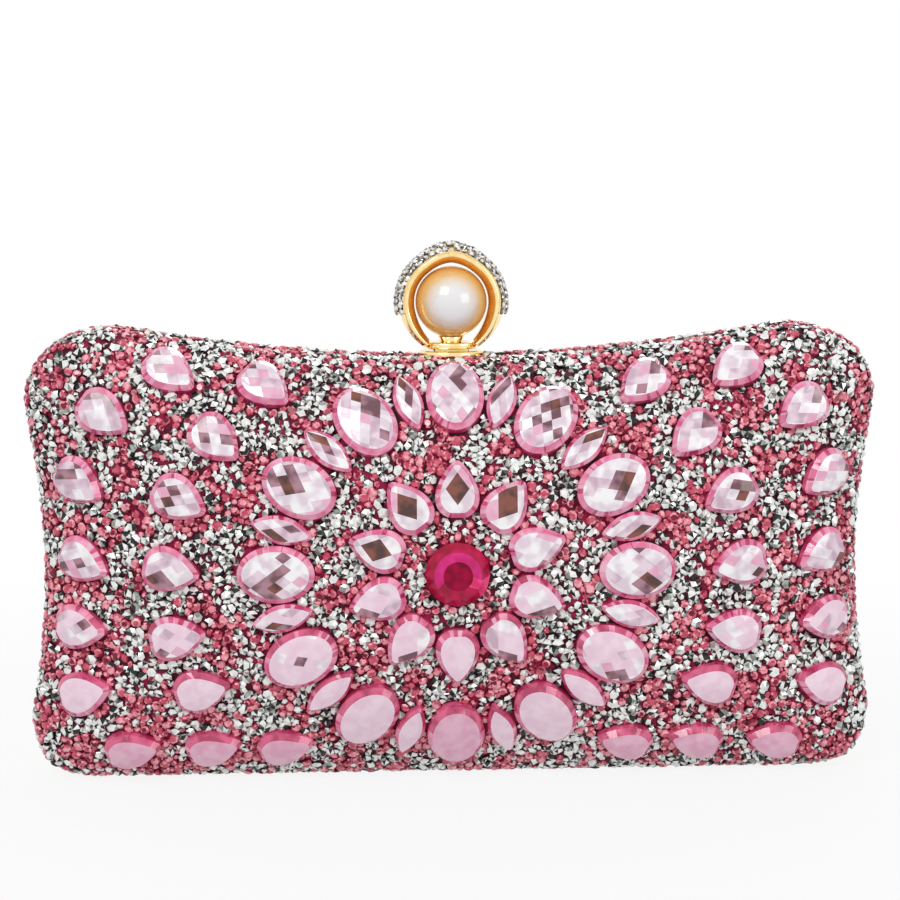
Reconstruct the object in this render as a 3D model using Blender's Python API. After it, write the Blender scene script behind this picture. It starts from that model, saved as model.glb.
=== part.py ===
"""Evening clutch: a hard box clutch in two halves, crusted with stones, with a ring and pearl clasp.

Metres, +Z up. The front faces -Y. The origin is at the middle of the footprint, on the floor.
The two halves meet in the parting plane, and the front half opens forward about the bottom hinges.
"""

import math

import bmesh
import bpy
from mathutils import Matrix, Vector

# Outline of the box, seen from the front
BODY_WIDTH = 0.2026
BODY_HEIGHT = 0.1074
TOP_SAG = 0.0074
TOP_SAG_REACH = 0.08
SIDE_SAG = 0.0042
SIDE_SAG_REACH = 0.038
BOTTOM_TAPER = 0.0009
TOP_CORNER_POWER = 3.8
BOTTOM_CORNER_POWER = 5.8

# Pillow shape of each half: straight wall, rounded shoulder, then a low crown
WALL_DEPTH = 0.0055
SHOULDER_REACH = 0.032
SHOULDER_RISE = 0.0105
CROWN = 0.0095

# Layers of each half, from the outside in
GAP = 0.0003
CRUST_THICK = 0.0021
SHELL_THICK = 0.0012
LINING_SLACK = 0.0008
LINING_THICK = 0.0008

# Gold rim of each half
FRAME_DEPTH = 0.003
FRAME_BREADTH = 0.0038
PARTING_GAP = 0.0003

# Bottom hinges
HINGE_OFFSET = 0.055
HINGE_LENGTH = 0.024
KNUCKLE_RADIUS = 0.001
HINGE_PIN_RADIUS = 0.00045
PIN_CLEARANCE = 0.00015
FLOOR_CLEARANCE = 0.00025
LEAF_THICK = 0.0006
LEAF_DEPTH = 0.0014
HINGE_OPEN_ROOM = 0.0003

# Collar of the clasp, on the top edge
COLLAR_HALF_WIDTH = 0.0076
COLLAR_HALF_DEPTH = 0.0062
COLLAR_THICK = 0.0016
COLLAR_SINK = 0.0005
COLLAR_FOOT_WIDTH = 0.0015
COLLAR_FOOT_GAP = 0.00045
WINDOW_HALF_WIDTH = 0.0042
WINDOW_FRONT = 0.0032
WINDOW_HEEL_ROOM = 0.0012

# Lever that tips in the collar
PIVOT_BACK = 0.003
PIVOT_RADIUS = 0.00035
PIVOT_PIN_HALF_LENGTH = 0.0062
LEVER_HEEL = 0.0009
LEVER_DISC_GAP = 0.0004
LEVER_DISC_THICK = 0.0016
LEVER_DISC_HALF_WIDTH = 0.006
LEVER_DISC_HALF_DEPTH = 0.0042
NOSE_HALF_WIDTH = 0.0025
NOSE_FRONT = 0.0015
NOSE_BACK = 0.0008
NOSE_DROP = 0.0008

# Catch plate, sunk in the top of the front frame
CATCH_HALF_WIDTH = 0.005
CATCH_THICK = 0.0008
CATCH_NOTCH_ROOM = 0.0006
CATCH_LIP = 0.00035

# Leaf spring that stands behind the lever's heel, in the window of the collar
SPRING_HALF_WIDTH = 0.0015
SPRING_THICK = 0.0002
SPRING_HEIGHT = 0.0013
SPRING_LEAN = 0.0004
SPRING_ROOM = 0.0002

# Ring, its stone strips, and the pearl
PEARL_RADIUS = 0.0085
PEARL_BORE_DEPTH = 0.0045
PEG_RADIUS = 0.0005
PEG_SINK = 0.0011
CUP_RADIUS = 0.0028
CUP_FLARE = 0.0003
CUP_FLOOR = 0.0004
RING_HALF_DEPTH = 0.0044
RING_CREST_HALF_DEPTH = 0.0016
RING_INNER_RADIUS = 0.009
RING_EDGE_RADIUS = 0.0103
RING_EDGE_THICK = 0.0009
RING_CREST_RADIUS = 0.0124
RING_POINT_RISE = 0.0009
RING_LEG_RISE = 0.0014
RING_ARCH_SHARE = 0.6
STRIP_THICK = 0.0014
STRIP_EDGE_THICK = 0.0005

# Large stones: length and width as shares of the pattern's span, which is the body's height, or this
# share of its width where that is less
SPAN_WIDTH_SHARE = 0.5302
ROUND_SHARE = 0.14
PETAL_SHARES = (0.13, 0.095)
OVAL_SHARES = (0.168, 0.126)
NAVETTE_SHARES = (0.14, 0.0615)
DROP_SIZE_SHARES = (0.131, 0.0985)

# Large stones: height over the crust, depth of the seat in it, and reach over which the slope is taken
CENTRE_HEIGHT = 0.0033
STONE_HEIGHT = 0.0026
NAVETTE_HEIGHT = 0.0019
STONE_SEAT = 0.0012
GIRDLE_HEIGHT = 0.0007
SLOPE_REACH = 0.005

# Places of the large stones on the front: middles as shares of the body's height, and half sizes of the
# rings as shares of its width and height
ROSETTE_SHARE = 0.4815
OVAL_RING_SHARE = 0.483
PETAL_RING_HALF_SHARES = (0.0967, 0.1825)
OVAL_RING_HALF_SHARES = (0.2063, 0.3705)
PETAL_COUNT = 10
OVAL_COUNT = 12

# Outer teardrops of one side: share of the half width, share of the height, turn of the tip in degrees
DROP_PLACE_SHARES = (
    (0.649, 0.908, -43),
    (0.433, 0.877, -47),
    (0.799, 0.822, -35),
    (0.545, 0.769, -44),
    (0.858, 0.674, -30),
    (0.628, 0.644, -28),
    (0.851, 0.502, -20),
    (0.650, 0.491, -12),
    (0.863, 0.355, -5),
    (0.639, 0.343, 9),
    (0.857, 0.211, 13),
    (0.585, 0.224, 15),
    (0.750, 0.079, 15),
    (0.562, 0.083, 20),
    (0.395, 0.084, 22),
)

# Directions in which outlines are sampled in one quadrant, in degrees, close together at the corners
QUADRANT_TURNS = (0, 9, 16, 21.5, 25, 28, 31.5, 37, 48, 66)
COARSE_QUADRANT_TURNS = (0, 16, 25, 31.5, 48)
FINE_SHOULDER_TURNS = (0, 28, 48, 68, 90)
COARSE_SHOULDER_TURNS = (0, 45, 90)
CAP_SHARES = (0.72, 0.42)

# Counts of sides and steps
ROUND_SIDES = 12
OVAL_SIDES = 20
STONE_SIDES = 16
FUSED_STONE_SIDES = 12
SMALL_SIDES = 8
PEARL_RINGS = 8
RING_STEPS = 24
STRIP_STEPS = 9
SPRING_STEPS = 4
SOLVE_STEPS = 40

# Profiles of the stones: share of the height between girdle and top, share of the outline
STONE_CROWN_SHARES = ((0.62, 0.81), (0.9, 0.5), (1.0, 0.2))
FUSED_CROWN_SHARES = ((0.62, 0.8), (1.0, 0.3))
TEARDROP_POWER = 0.8
TEARDROP_FULLNESS = 1.25

# Where the ring's stone strips and the ring itself begin and end, in degrees from the right, upward
STRIP_START = -12
STRIP_END = 86
RING_START = -60
RING_TOP = 90
RING_POINT_SPREAD = 35
RING_LEG_SPREAD = 100
SHARP_TURN = 40

# Sizes worked out from the ones above
HALF_WIDTH = BODY_WIDTH / 2
HALF_HEIGHT = BODY_HEIGHT / 2
TOP_MIDDLE = BODY_HEIGHT - TOP_SAG
PARTING_HALF = PARTING_GAP / 2
SKIN_EDGE = FRAME_DEPTH + GAP
SHELL_LAYER = CRUST_THICK + GAP
LINING_LAYER = SHELL_LAYER + SHELL_THICK + LINING_SLACK
HINGE_HEIGHT = FLOOR_CLEARANCE + KNUCKLE_RADIUS
FRAME_INSET = HINGE_HEIGHT + FLOOR_CLEARANCE
FRAME_TOP = TOP_MIDDLE - FRAME_INSET
PARTING_Y = CENTRE_HEIGHT / 2

PATTERN_SPAN = min(BODY_HEIGHT, SPAN_WIDTH_SHARE * BODY_WIDTH)
ROUND_SIZE = ROUND_SHARE * PATTERN_SPAN
PETAL_LENGTH, PETAL_WIDTH = (share * PATTERN_SPAN for share in PETAL_SHARES)
OVAL_LENGTH, OVAL_WIDTH = (share * PATTERN_SPAN for share in OVAL_SHARES)
NAVETTE_LENGTH, NAVETTE_WIDTH = (share * PATTERN_SPAN for share in NAVETTE_SHARES)
DROP_LENGTH, DROP_WIDTH = (share * PATTERN_SPAN for share in DROP_SIZE_SHARES)
ROSETTE_HEIGHT = ROSETTE_SHARE * BODY_HEIGHT
OVAL_RING_HEIGHT = OVAL_RING_SHARE * BODY_HEIGHT

COLLAR_BOTTOM = TOP_MIDDLE - COLLAR_SINK
COLLAR_TOP = COLLAR_BOTTOM + COLLAR_THICK
WINDOW_BACK = PIVOT_BACK + LEVER_HEEL + WINDOW_HEEL_ROOM
PIVOT_HEIGHT = COLLAR_BOTTOM + COLLAR_THICK / 2
DISC_BOTTOM = COLLAR_TOP + LEVER_DISC_GAP
DISC_TOP = DISC_BOTTOM + LEVER_DISC_THICK
CUP_BOTTOM = DISC_TOP + GAP
PEARL_HEIGHT = CUP_BOTTOM + CUP_FLOOR + GAP + PEARL_RADIUS
PEG_BORE_RADIUS = PEG_RADIUS + PIN_CLEARANCE


def clear_scene():
    """Remove every object of the scene."""
    for obj in list(bpy.data.objects):
        bpy.data.objects.remove(obj, do_unlink=True)


def make_material(name, colour, roughness, metallic):
    """A Principled material with one colour, roughness and metallic value."""
    material = bpy.data.materials.new(name)
    material.use_nodes = True
    shader = material.node_tree.nodes["Principled BSDF"]
    shader.inputs["Base Color"].default_value = (*colour, 1.0)
    shader.inputs["Roughness"].default_value = roughness
    shader.inputs["Metallic"].default_value = metallic
    material.diffuse_color = (*colour, 1.0)
    return material


def make_mesh(name, points, faces):
    """A mesh from points and faces, with its faces turned outward."""
    bm = bmesh.new()
    corners = [bm.verts.new(point) for point in points]
    for face in faces:
        bm.faces.new([corners[index] for index in face])
    bmesh.ops.recalc_face_normals(bm, faces=bm.faces)
    mesh = bpy.data.meshes.new(name)
    bm.to_mesh(mesh)
    bm.free()
    return mesh


def make_object(name, mesh, material=None, parent=None):
    """An object that holds a mesh whose points are given in the box's own frame."""
    obj = bpy.data.objects.new(name, mesh)
    bpy.context.scene.collection.objects.link(obj)
    if material is not None:
        mesh.materials.clear()
        mesh.materials.append(material)
    if parent is not None:
        obj.parent = parent
        obj.location = -Vector((0, parent["box_y"], parent["box_z"]))
    return obj


def make_axis(name, box_y, box_z, parent=None):
    """An empty on a joint's axis, placed in the box's frame, whose Y is zero in the parting plane."""
    empty = bpy.data.objects.new(name, None)
    bpy.context.scene.collection.objects.link(empty)
    empty["box_y"] = box_y
    empty["box_z"] = box_z
    if parent is None:
        empty.location = (0, PARTING_Y + box_y, box_z)
    else:
        empty.parent = parent
        empty.location = (0, box_y - parent["box_y"], box_z - parent["box_z"])
    return empty


def place_tools(tools, owner):
    """Put tools in the same frame as the object they shape."""
    for tool in tools:
        tool.parent = owner.parent
        tool.location = owner.location


def combine(obj, tools, operation):
    """Cut with, or join with, other solids in one step, and remove them."""
    for tool in tools:
        modifier = obj.modifiers.new("solid", "BOOLEAN")
        modifier.operation = operation
        modifier.solver = "EXACT"
        modifier.object = tool
    bpy.context.view_layer.update()
    evaluated = obj.evaluated_get(bpy.context.evaluated_depsgraph_get())
    mesh = bpy.data.meshes.new_from_object(evaluated)
    obj.modifiers.clear()
    mesh.name = obj.name
    obj.data = mesh
    for tool in tools:
        bpy.data.objects.remove(tool, do_unlink=True)
    return obj


def shade_round(obj):
    """Smooth shading that keeps the sharp edges."""
    obj.data.shade_smooth()
    obj.data.set_sharp_from_angle(angle=math.radians(SHARP_TURN))


def box_mesh(low, high):
    """A block between two corners."""
    points = [(x, y, z) for x in (low[0], high[0]) for y in (low[1], high[1]) for z in (low[2], high[2])]
    faces = [(0, 1, 3, 2), (4, 6, 7, 5), (0, 4, 5, 1), (2, 3, 7, 6), (0, 2, 6, 4), (1, 5, 7, 3)]
    return make_mesh("block", points, faces)


def tool_box(low, high):
    """A block to cut or join with."""
    return make_object("tool_block", box_mesh(low, high))


def rod_mesh(centre_y, centre_z, start_x, end_x, radius, sides=ROUND_SIDES):
    """A round rod along X."""
    loops = []
    for x in (start_x, end_x):
        turns = [2 * math.pi * (step + 0.5) / sides for step in range(sides)]
        loops.append([(x, centre_y + radius * math.cos(t), centre_z + radius * math.sin(t)) for t in turns])
    return loft_mesh("rod", loops)


def tool_rod(centre_y, centre_z, start_x, end_x, radius):
    """A round rod along X to cut or join with."""
    return make_object("tool_rod", rod_mesh(centre_y, centre_z, start_x, end_x, radius))


def loft_mesh(name, loops):
    """A solid through closed loops of equal length, with flat ends."""
    count = len(loops[0])
    points = [point for loop in loops for point in loop]
    faces = [tuple(range(count)), tuple(range(len(points) - count, len(points)))]
    for row in range(len(loops) - 1):
        for step in range(count):
            after = (step + 1) % count
            start = row * count
            faces.append((start + step, start + after, start + count + after, start + count + step))
    return make_mesh(name, points, faces)


def lathe_mesh(name, profile, sides, centre_z=0.0):
    """A solid turned about the upright axis from (radius, height) points; zero radius closes an end."""
    points = []
    rows = []
    for radius, height in profile:
        if radius == 0:
            rows.append([len(points)])
            points.append((0, 0, centre_z + height))
            continue
        rows.append(list(range(len(points), len(points) + sides)))
        for step in range(sides):
            turn = 2 * math.pi * step / sides
            points.append((radius * math.cos(turn), radius * math.sin(turn), centre_z + height))
    closed = profile[0][0] != 0
    pairs = list(zip(rows, rows[1:]))
    if closed:
        pairs.append((rows[-1], rows[0]))
    faces = []
    for lower, upper in pairs:
        for step in range(sides):
            after = (step + 1) % sides
            if len(lower) == 1:
                faces.append((lower[0], upper[step], upper[after]))
            elif len(upper) == 1:
                faces.append((lower[after], lower[step], upper[0]))
            else:
                faces.append((lower[step], lower[after], upper[after], upper[step]))
    return make_mesh(name, points, faces)


def ellipse_loop(half_x, half_y, height, sides=OVAL_SIDES):
    """A level ellipse about the upright axis."""
    turns = [2 * math.pi * step / sides for step in range(sides)]
    return [(half_x * math.cos(turn), half_y * math.sin(turn), height) for turn in turns]


# Shape of the box: how far a place lies inside the outline, and how deep the half is there

def side_edge(height):
    """Half the outline's width before the corners round it off; the sides sag and taper downward."""
    reach_share = min(1, ((height - HALF_HEIGHT) / SIDE_SAG_REACH) ** 2)
    return HALF_WIDTH - SIDE_SAG * (1 - reach_share) - BOTTOM_TAPER * (1 - height / BODY_HEIGHT)


def top_edge(across):
    """Height of the sagging top edge."""
    reach_share = min(1, (across / TOP_SAG_REACH) ** 2)
    return BODY_HEIGHT - TOP_SAG * (1 - reach_share)


def inset_at(across, height):
    """Distance inside the outline, up to the shoulder's reach, with rounded corners."""
    upper = height > HALF_HEIGHT
    power = TOP_CORNER_POWER if upper else BOTTOM_CORNER_POWER
    upright = top_edge(across) - height if upper else height
    from_side = max(0, SHOULDER_REACH - (side_edge(height) - abs(across)))
    from_end = max(0, SHOULDER_REACH - upright)
    return SHOULDER_REACH - (from_side ** power + from_end ** power) ** (1 / power)


def crown_at(across, height):
    """Extra height of the low crown."""
    across_share = min(1, (across / HALF_WIDTH) ** 2)
    upright_share = min(1, ((height - HALF_HEIGHT) / HALF_HEIGHT) ** 2)
    return CROWN * (1 - across_share) * (1 - upright_share)


def depth_on_turn(across, height, layer, turn):
    """Depth from the parting plane of a layer at a given turn of its shoulder."""
    return WALL_DEPTH + math.sin(turn) * (SHOULDER_RISE - layer + crown_at(across, height))


def depth_at(across, height, layer=0.0):
    """Depth from the parting plane of a layer at any place inside its outline."""
    reach = SHOULDER_REACH - layer
    inside = min(reach, max(0, inset_at(across, height) - layer))
    return depth_on_turn(across, height, layer, math.acos(1 - inside / reach))


def all_turns(quadrant):
    """The sampled directions of a quadrant, mirrored to all four, in radians."""
    right_top = list(quadrant) + [90]
    top = right_top + [180 - turn for turn in reversed(right_top[:-1])]
    return [math.radians(turn) for turn in top + [360 - turn for turn in reversed(top[1:-1])]]


def outline_ring(inset, turns):
    """Points (across, height) at one inset from the outline, one for each direction."""
    ring = []
    for turn in turns:
        inner = 0.0
        outer = BODY_WIDTH
        for _ in range(SOLVE_STEPS):
            middle = (inner + outer) / 2
            if inset_at(middle * math.cos(turn), HALF_HEIGHT + middle * math.sin(turn)) >= inset:
                inner = middle
            else:
                outer = middle
        ring.append((inner * math.cos(turn), HALF_HEIGHT + inner * math.sin(turn)))
    return ring


def surface_rows(layer, turns, shoulder_turns, side):
    """Rows of points of one surface of a half, from its edge to the ring round its middle."""
    edge = outline_ring(layer, turns)
    rows = [[(x, side * SKIN_EDGE, z) for x, z in edge]]
    flat_turn = shoulder_turns[-1]
    for degrees in shoulder_turns:
        turn = math.radians(degrees)
        inset = layer + (SHOULDER_REACH - layer) * (1 - math.cos(turn))
        ring = edge if degrees == 0 else outline_ring(inset, turns)
        rows.append([(x, side * depth_on_turn(x, z, layer, turn), z) for x, z in ring])
        if degrees == flat_turn:
            shoulder_ring = ring
    for share in CAP_SHARES:
        scaled = [(x * share, HALF_HEIGHT + (z - HALF_HEIGHT) * share) for x, z in shoulder_ring]
        rows.append([(x, side * depth_on_turn(x, z, layer, math.pi / 2), z) for x, z in scaled])
    return rows


def skin_mesh(name, side, layer, thick, quadrant, shoulder_turns, inner_turns):
    """One curved layer of a half, closed at its edge by a flat rim."""
    turns = all_turns(quadrant)
    count = len(turns)
    points = []
    faces = []
    starts = []
    for depth_layer, its_turns in ((layer, shoulder_turns), (layer + thick, inner_turns)):
        rows = surface_rows(depth_layer, turns, its_turns, side)
        start = len(points)
        starts.append(start)
        points.extend(point for row in rows for point in row)
        middle = len(points)
        points.append((0, side * depth_at(0, HALF_HEIGHT, depth_layer), HALF_HEIGHT))
        for row in range(len(rows) - 1):
            for step in range(count):
                after = (step + 1) % count
                base = start + row * count
                faces.append((base + step, base + after, base + count + after, base + count + step))
        last = start + (len(rows) - 1) * count
        faces.extend((last + step, last + (step + 1) % count, middle) for step in range(count))
    outer, inner = starts
    for step in range(count):
        after = (step + 1) % count
        faces.append((outer + step, outer + after, inner + after, inner + step))
    return make_mesh(name, points, faces)


# Stones

def stone_outline(kind, length, width, sides):
    """Outline of a stone in its own plane, its long axis and any tip along X."""
    points = []
    for step in range(sides):
        turn = 2 * math.pi * step / sides
        x = length / 2 * math.cos(turn)
        y = width / 2 * math.sin(turn)
        if kind == "teardrop":
            y = y * TEARDROP_FULLNESS * math.sin(turn / 2) ** TEARDROP_POWER
        if kind == "navette":
            y = y * abs(math.sin(turn))
        points.append((x, y))
    return points


def stone_mesh(name, kind, length, width, height, sides, crown_shares, play=0.0):
    """A stone with a flat back below the crust, a girdle and a stepped crown; play makes its seat."""
    outline = stone_outline(kind, length + 2 * play, width + 2 * play, sides)
    rows = [(-STONE_SEAT - play, 1), (GIRDLE_HEIGHT + play, 1)]
    if play == 0:
        rise = height - GIRDLE_HEIGHT
        rows.extend((GIRDLE_HEIGHT + rise * up_share, out_share) for up_share, out_share in crown_shares)
    else:
        rows.append((height, 1))
    loops = [[(x * share, y * share, level) for x, y in outline] for level, share in rows]
    return loft_mesh(name, loops)


def seat_matrix(across, height, degrees):
    """Place on the front of the crust: local Z points out of the surface, local X along the turn."""
    step = SLOPE_REACH
    slope_x = (depth_at(across + step, height) - depth_at(across - step, height)) / (2 * step)
    slope_z = (depth_at(across, height + step) - depth_at(across, height - step)) / (2 * step)
    outward = Vector((-slope_x, -1, -slope_z)).normalized()
    turn = math.radians(degrees)
    along = Vector((math.cos(turn), 0, math.sin(turn)))
    along = (along - outward * along.dot(outward)).normalized()
    sideways = outward.cross(along)
    rotation = Matrix((along, sideways, outward)).transposed().to_4x4()
    return Matrix.Translation((across, -depth_at(across, height), height)) @ rotation


def separate_stones():
    """Name, kind, size and place of the stones that are nodes of their own."""
    stones = [("centre_stone", "round", ROUND_SIZE, ROUND_SIZE, CENTRE_HEIGHT, 0.0, ROSETTE_HEIGHT, 0)]
    for number in range(PETAL_COUNT):
        place = ring_place(90 + 360 * number / PETAL_COUNT, ROSETTE_HEIGHT, PETAL_RING_HALF_SHARES)
        across, height, degrees = place
        stones.append((f"petal_stone_{number + 1:02d}", "teardrop", PETAL_LENGTH, PETAL_WIDTH,
                       STONE_HEIGHT, across, height, degrees))
    for number in range(OVAL_COUNT):
        place = ring_place(90 + 360 * number / OVAL_COUNT, OVAL_RING_HEIGHT, OVAL_RING_HALF_SHARES)
        across, height, degrees = place
        stones.append((f"oval_stone_{number + 1:02d}", "oval", OVAL_LENGTH, OVAL_WIDTH,
                       STONE_HEIGHT, across, height, degrees))
    return stones


def ring_place(degrees, middle, half_shares):
    """Place on a ring of stones about the given height, and the direction to it from the ring's middle."""
    turn = math.radians(degrees)
    across = half_shares[0] * BODY_WIDTH * math.cos(turn)
    rise = half_shares[1] * BODY_HEIGHT * math.sin(turn)
    return across, middle + rise, math.degrees(math.atan2(rise, across))


def fused_stones():
    """Kind, size and place of the stones that are one solid with the crust."""
    stones = []
    for number in range(OVAL_COUNT):
        place = ring_place(90 + 360 * (number + 0.5) / OVAL_COUNT, OVAL_RING_HEIGHT, OVAL_RING_HALF_SHARES)
        across, height, degrees = place
        stones.append(("navette", NAVETTE_LENGTH, NAVETTE_WIDTH, NAVETTE_HEIGHT, across, height, degrees))
    for width_share, height_share, degrees in DROP_PLACE_SHARES:
        for side, turn in ((-1, degrees), (1, 180 - degrees)):
            stones.append(("teardrop", DROP_LENGTH, DROP_WIDTH, STONE_HEIGHT,
                           side * width_share * HALF_WIDTH, height_share * BODY_HEIGHT, turn))
    return stones


def merged_tool(meshes_and_places):
    """One object that holds several solids that don't touch each other."""
    bm = bmesh.new()
    for mesh, place in meshes_and_places:
        start = len(bm.verts)
        bm.from_mesh(mesh)
        bm.verts.ensure_lookup_table()
        bmesh.ops.transform(bm, matrix=place, verts=bm.verts[start:])
    merged = bpy.data.meshes.new("tool_stones")
    bm.to_mesh(merged)
    bm.free()
    return make_object("tool_stones", merged)


def add_crusts(root, front, material):
    """The two crusts of glue and small stones, with a pocket for the clasp's collar."""
    for name, side, parent in (("rear_crystal_crust", 1, root), ("front_crystal_crust", -1, front)):
        mesh = skin_mesh(name, side, 0.0, CRUST_THICK, QUADRANT_TURNS, FINE_SHOULDER_TURNS,
                         COARSE_SHOULDER_TURNS)
        crust = make_object(name, mesh, material, parent)
        pocket = loft_mesh("tool_pocket", [ellipse_loop(COLLAR_HALF_WIDTH + GAP, COLLAR_HALF_DEPTH + GAP, level)
                                           for level in (COLLAR_BOTTOM - GAP, BODY_HEIGHT)])
        tool = make_object("tool_pocket", pocket)
        place_tools([tool], crust)
        combine(crust, [tool], "DIFFERENCE")
        if side < 0:
            dress_front_crust(crust)
        shade_round(crust)


def dress_front_crust(crust):
    """Cut the seats of the large stones and join the fused ones."""
    seats = []
    for _, kind, length, width, height, across, up, degrees in separate_stones():
        mesh = stone_mesh("seat", kind, length, width, height, STONE_SIDES, (), GAP)
        seats.append((mesh, seat_matrix(across, up, degrees)))
    bumps = []
    for kind, length, width, height, across, up, degrees in fused_stones():
        mesh = stone_mesh("bump", kind, length, width, height, FUSED_STONE_SIDES, FUSED_CROWN_SHARES)
        bumps.append((mesh, seat_matrix(across, up, degrees)))
    for places, operation in ((bumps, "UNION"), (seats, "DIFFERENCE")):
        tool = merged_tool(places)
        place_tools([tool], crust)
        combine(crust, [tool], operation)


def add_stones(front, ruby, pink):
    """The centre stone, the petals and the ovals, each an object of its own."""
    shared = {}
    for name, kind, length, width, height, across, up, degrees in separate_stones():
        if kind not in shared:
            mesh = stone_mesh(kind + "_stone", kind, length, width, height, STONE_SIDES, STONE_CROWN_SHARES)
            shared[kind] = mesh
            mesh.materials.append(ruby if kind == "round" else pink)
        obj = make_object(name, shared[kind], None, front)
        obj.matrix_local = Matrix.Translation(obj.location) @ seat_matrix(across, up, degrees)


# Halves of the box

def add_skins(root, front, metal, satin):
    """The pressed shells and the linings of both halves."""
    for side, half, parent in ((1, "rear", root), (-1, "front", front)):
        shell = skin_mesh(half + "_shell", side, SHELL_LAYER, SHELL_THICK, QUADRANT_TURNS,
                          COARSE_SHOULDER_TURNS, COARSE_SHOULDER_TURNS)
        shade_round(make_object(half + "_shell", shell, metal, parent))
        lining = skin_mesh(half + "_lining", side, LINING_LAYER, LINING_THICK, COARSE_QUADRANT_TURNS,
                           COARSE_SHOULDER_TURNS, COARSE_SHOULDER_TURNS)
        shade_round(make_object(half + "_lining", lining, satin, parent))


def frame_mesh(name, side):
    """A flat rim round the opening of a half."""
    turns = all_turns(QUADRANT_TURNS)
    outer = outline_ring(FRAME_INSET, turns)
    inner = outline_ring(FRAME_INSET + FRAME_BREADTH, turns)
    count = len(turns)
    loops = [(outer, PARTING_HALF), (outer, FRAME_DEPTH), (inner, FRAME_DEPTH), (inner, PARTING_HALF)]
    points = [(x, side * depth, z) for ring, depth in loops for x, z in ring]
    faces = []
    for row in range(len(loops)):
        for step in range(count):
            after = (step + 1) % count
            lower = row * count
            upper = (row + 1) % len(loops) * count
            faces.append((lower + step, lower + after, upper + after, upper + step))
    return make_mesh(name, points, faces)


def add_frames(root, front, gold):
    """The two gold rims, notched for the hinges, and the front one for the catch plate."""
    notch_top = HINGE_HEIGHT + KNUCKLE_RADIUS + GAP
    for side, name, parent in ((1, "rear_frame", root), (-1, "front_frame", front)):
        frame = make_object(name, frame_mesh(name, side), gold, parent)
        near, far = sorted((0.0, side * (FRAME_DEPTH + GAP)))
        half_notch = HINGE_LENGTH / 2 + GAP
        tools = [tool_box((x - half_notch, near, 0.0), (x + half_notch, far, notch_top))
                 for x in (-HINGE_OFFSET, HINGE_OFFSET)]
        if side < 0:
            half_width = CATCH_HALF_WIDTH + GAP
            floor = FRAME_TOP - CATCH_THICK - GAP
            tools.append(tool_box((-half_width, near, floor), (half_width, far, TOP_MIDDLE)))
        place_tools(tools, frame)
        combine(frame, tools, "DIFFERENCE")
        shade_round(frame)


# Hinges

def add_hinges(root, front, gold, steel):
    """Two butt hinges under the rims; the rear leaf has two knuckles and the front leaf one."""
    third = HINGE_LENGTH / 3
    for hand, middle in (("left", -HINGE_OFFSET), ("right", HINGE_OFFSET)):
        start = middle - HINGE_LENGTH / 2
        spans = {
            "rear": [(start, start + third - PARTING_HALF), (start + 2 * third + PARTING_HALF, start + 3 * third)],
            "front": [(start + third + PARTING_HALF, start + 2 * third - PARTING_HALF)],
        }
        for half, side, parent in (("rear", 1, root), ("front", -1, front)):
            add_leaf(f"hinge_{hand}_{half}_leaf", start, side, spans[half], gold, parent)
        pin = rod_mesh(0, HINGE_HEIGHT, start, start + HINGE_LENGTH, HINGE_PIN_RADIUS)
        shade_round(make_object(f"hinge_{hand}_pin", pin, steel, root))


def add_leaf(name, start, side, spans, material, parent):
    """One hinge leaf: a plate under the rim, and knuckles bored for the pin."""
    plate_top = HINGE_HEIGHT + KNUCKLE_RADIUS
    plate_bottom = plate_top - LEAF_THICK
    near = KNUCKLE_RADIUS + HINGE_OPEN_ROOM
    near_y, far_y = sorted((side * near, side * (near + LEAF_DEPTH)))
    plate = box_mesh((start, near_y, plate_bottom), (start + HINGE_LENGTH, far_y, plate_top))
    leaf = make_object(name, plate, material, parent)
    joined = []
    bores = []
    for low_x, high_x in spans:
        web_near, web_far = sorted((0.0, side * (near + LEAF_DEPTH / 2)))
        joined.append(tool_box((low_x, web_near, plate_bottom), (high_x, web_far, plate_top)))
        joined.append(tool_rod(0, HINGE_HEIGHT, low_x, high_x, KNUCKLE_RADIUS))
        bores.append(tool_rod(0, HINGE_HEIGHT, low_x - GAP, high_x + GAP, HINGE_PIN_RADIUS + PIN_CLEARANCE))
    place_tools(joined + bores, leaf)
    combine(leaf, joined, "UNION")
    combine(leaf, bores, "DIFFERENCE")
    shade_round(leaf)


# Clasp

def add_collar(root, gold):
    """The oval collar with a window for the lever, its two feet and the bore of the pivot pin."""
    mesh = loft_mesh("clasp_collar", [ellipse_loop(COLLAR_HALF_WIDTH, COLLAR_HALF_DEPTH, level)
                                      for level in (COLLAR_BOTTOM, COLLAR_TOP)])
    collar = make_object("clasp_collar", mesh, gold, root)
    feet = []
    for side in (-1, 1):
        low_x, high_x = sorted((side * (WINDOW_HALF_WIDTH + GAP), side * (WINDOW_HALF_WIDTH + COLLAR_FOOT_WIDTH)))
        feet.append(tool_box((low_x, PARTING_HALF + GAP, FRAME_TOP + COLLAR_FOOT_GAP),
                             (high_x, FRAME_DEPTH - GAP, PIVOT_HEIGHT)))
    window = tool_box((-WINDOW_HALF_WIDTH, -WINDOW_FRONT, COLLAR_BOTTOM - COLLAR_THICK),
                      (WINDOW_HALF_WIDTH, WINDOW_BACK, COLLAR_TOP + COLLAR_THICK))
    bore = tool_rod(PIVOT_BACK, PIVOT_HEIGHT, -COLLAR_HALF_WIDTH, COLLAR_HALF_WIDTH,
                    PIVOT_RADIUS + PIN_CLEARANCE)
    place_tools(feet + [window, bore], collar)
    combine(collar, feet, "UNION")
    combine(collar, [window, bore], "DIFFERENCE")
    shade_round(collar)


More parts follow.
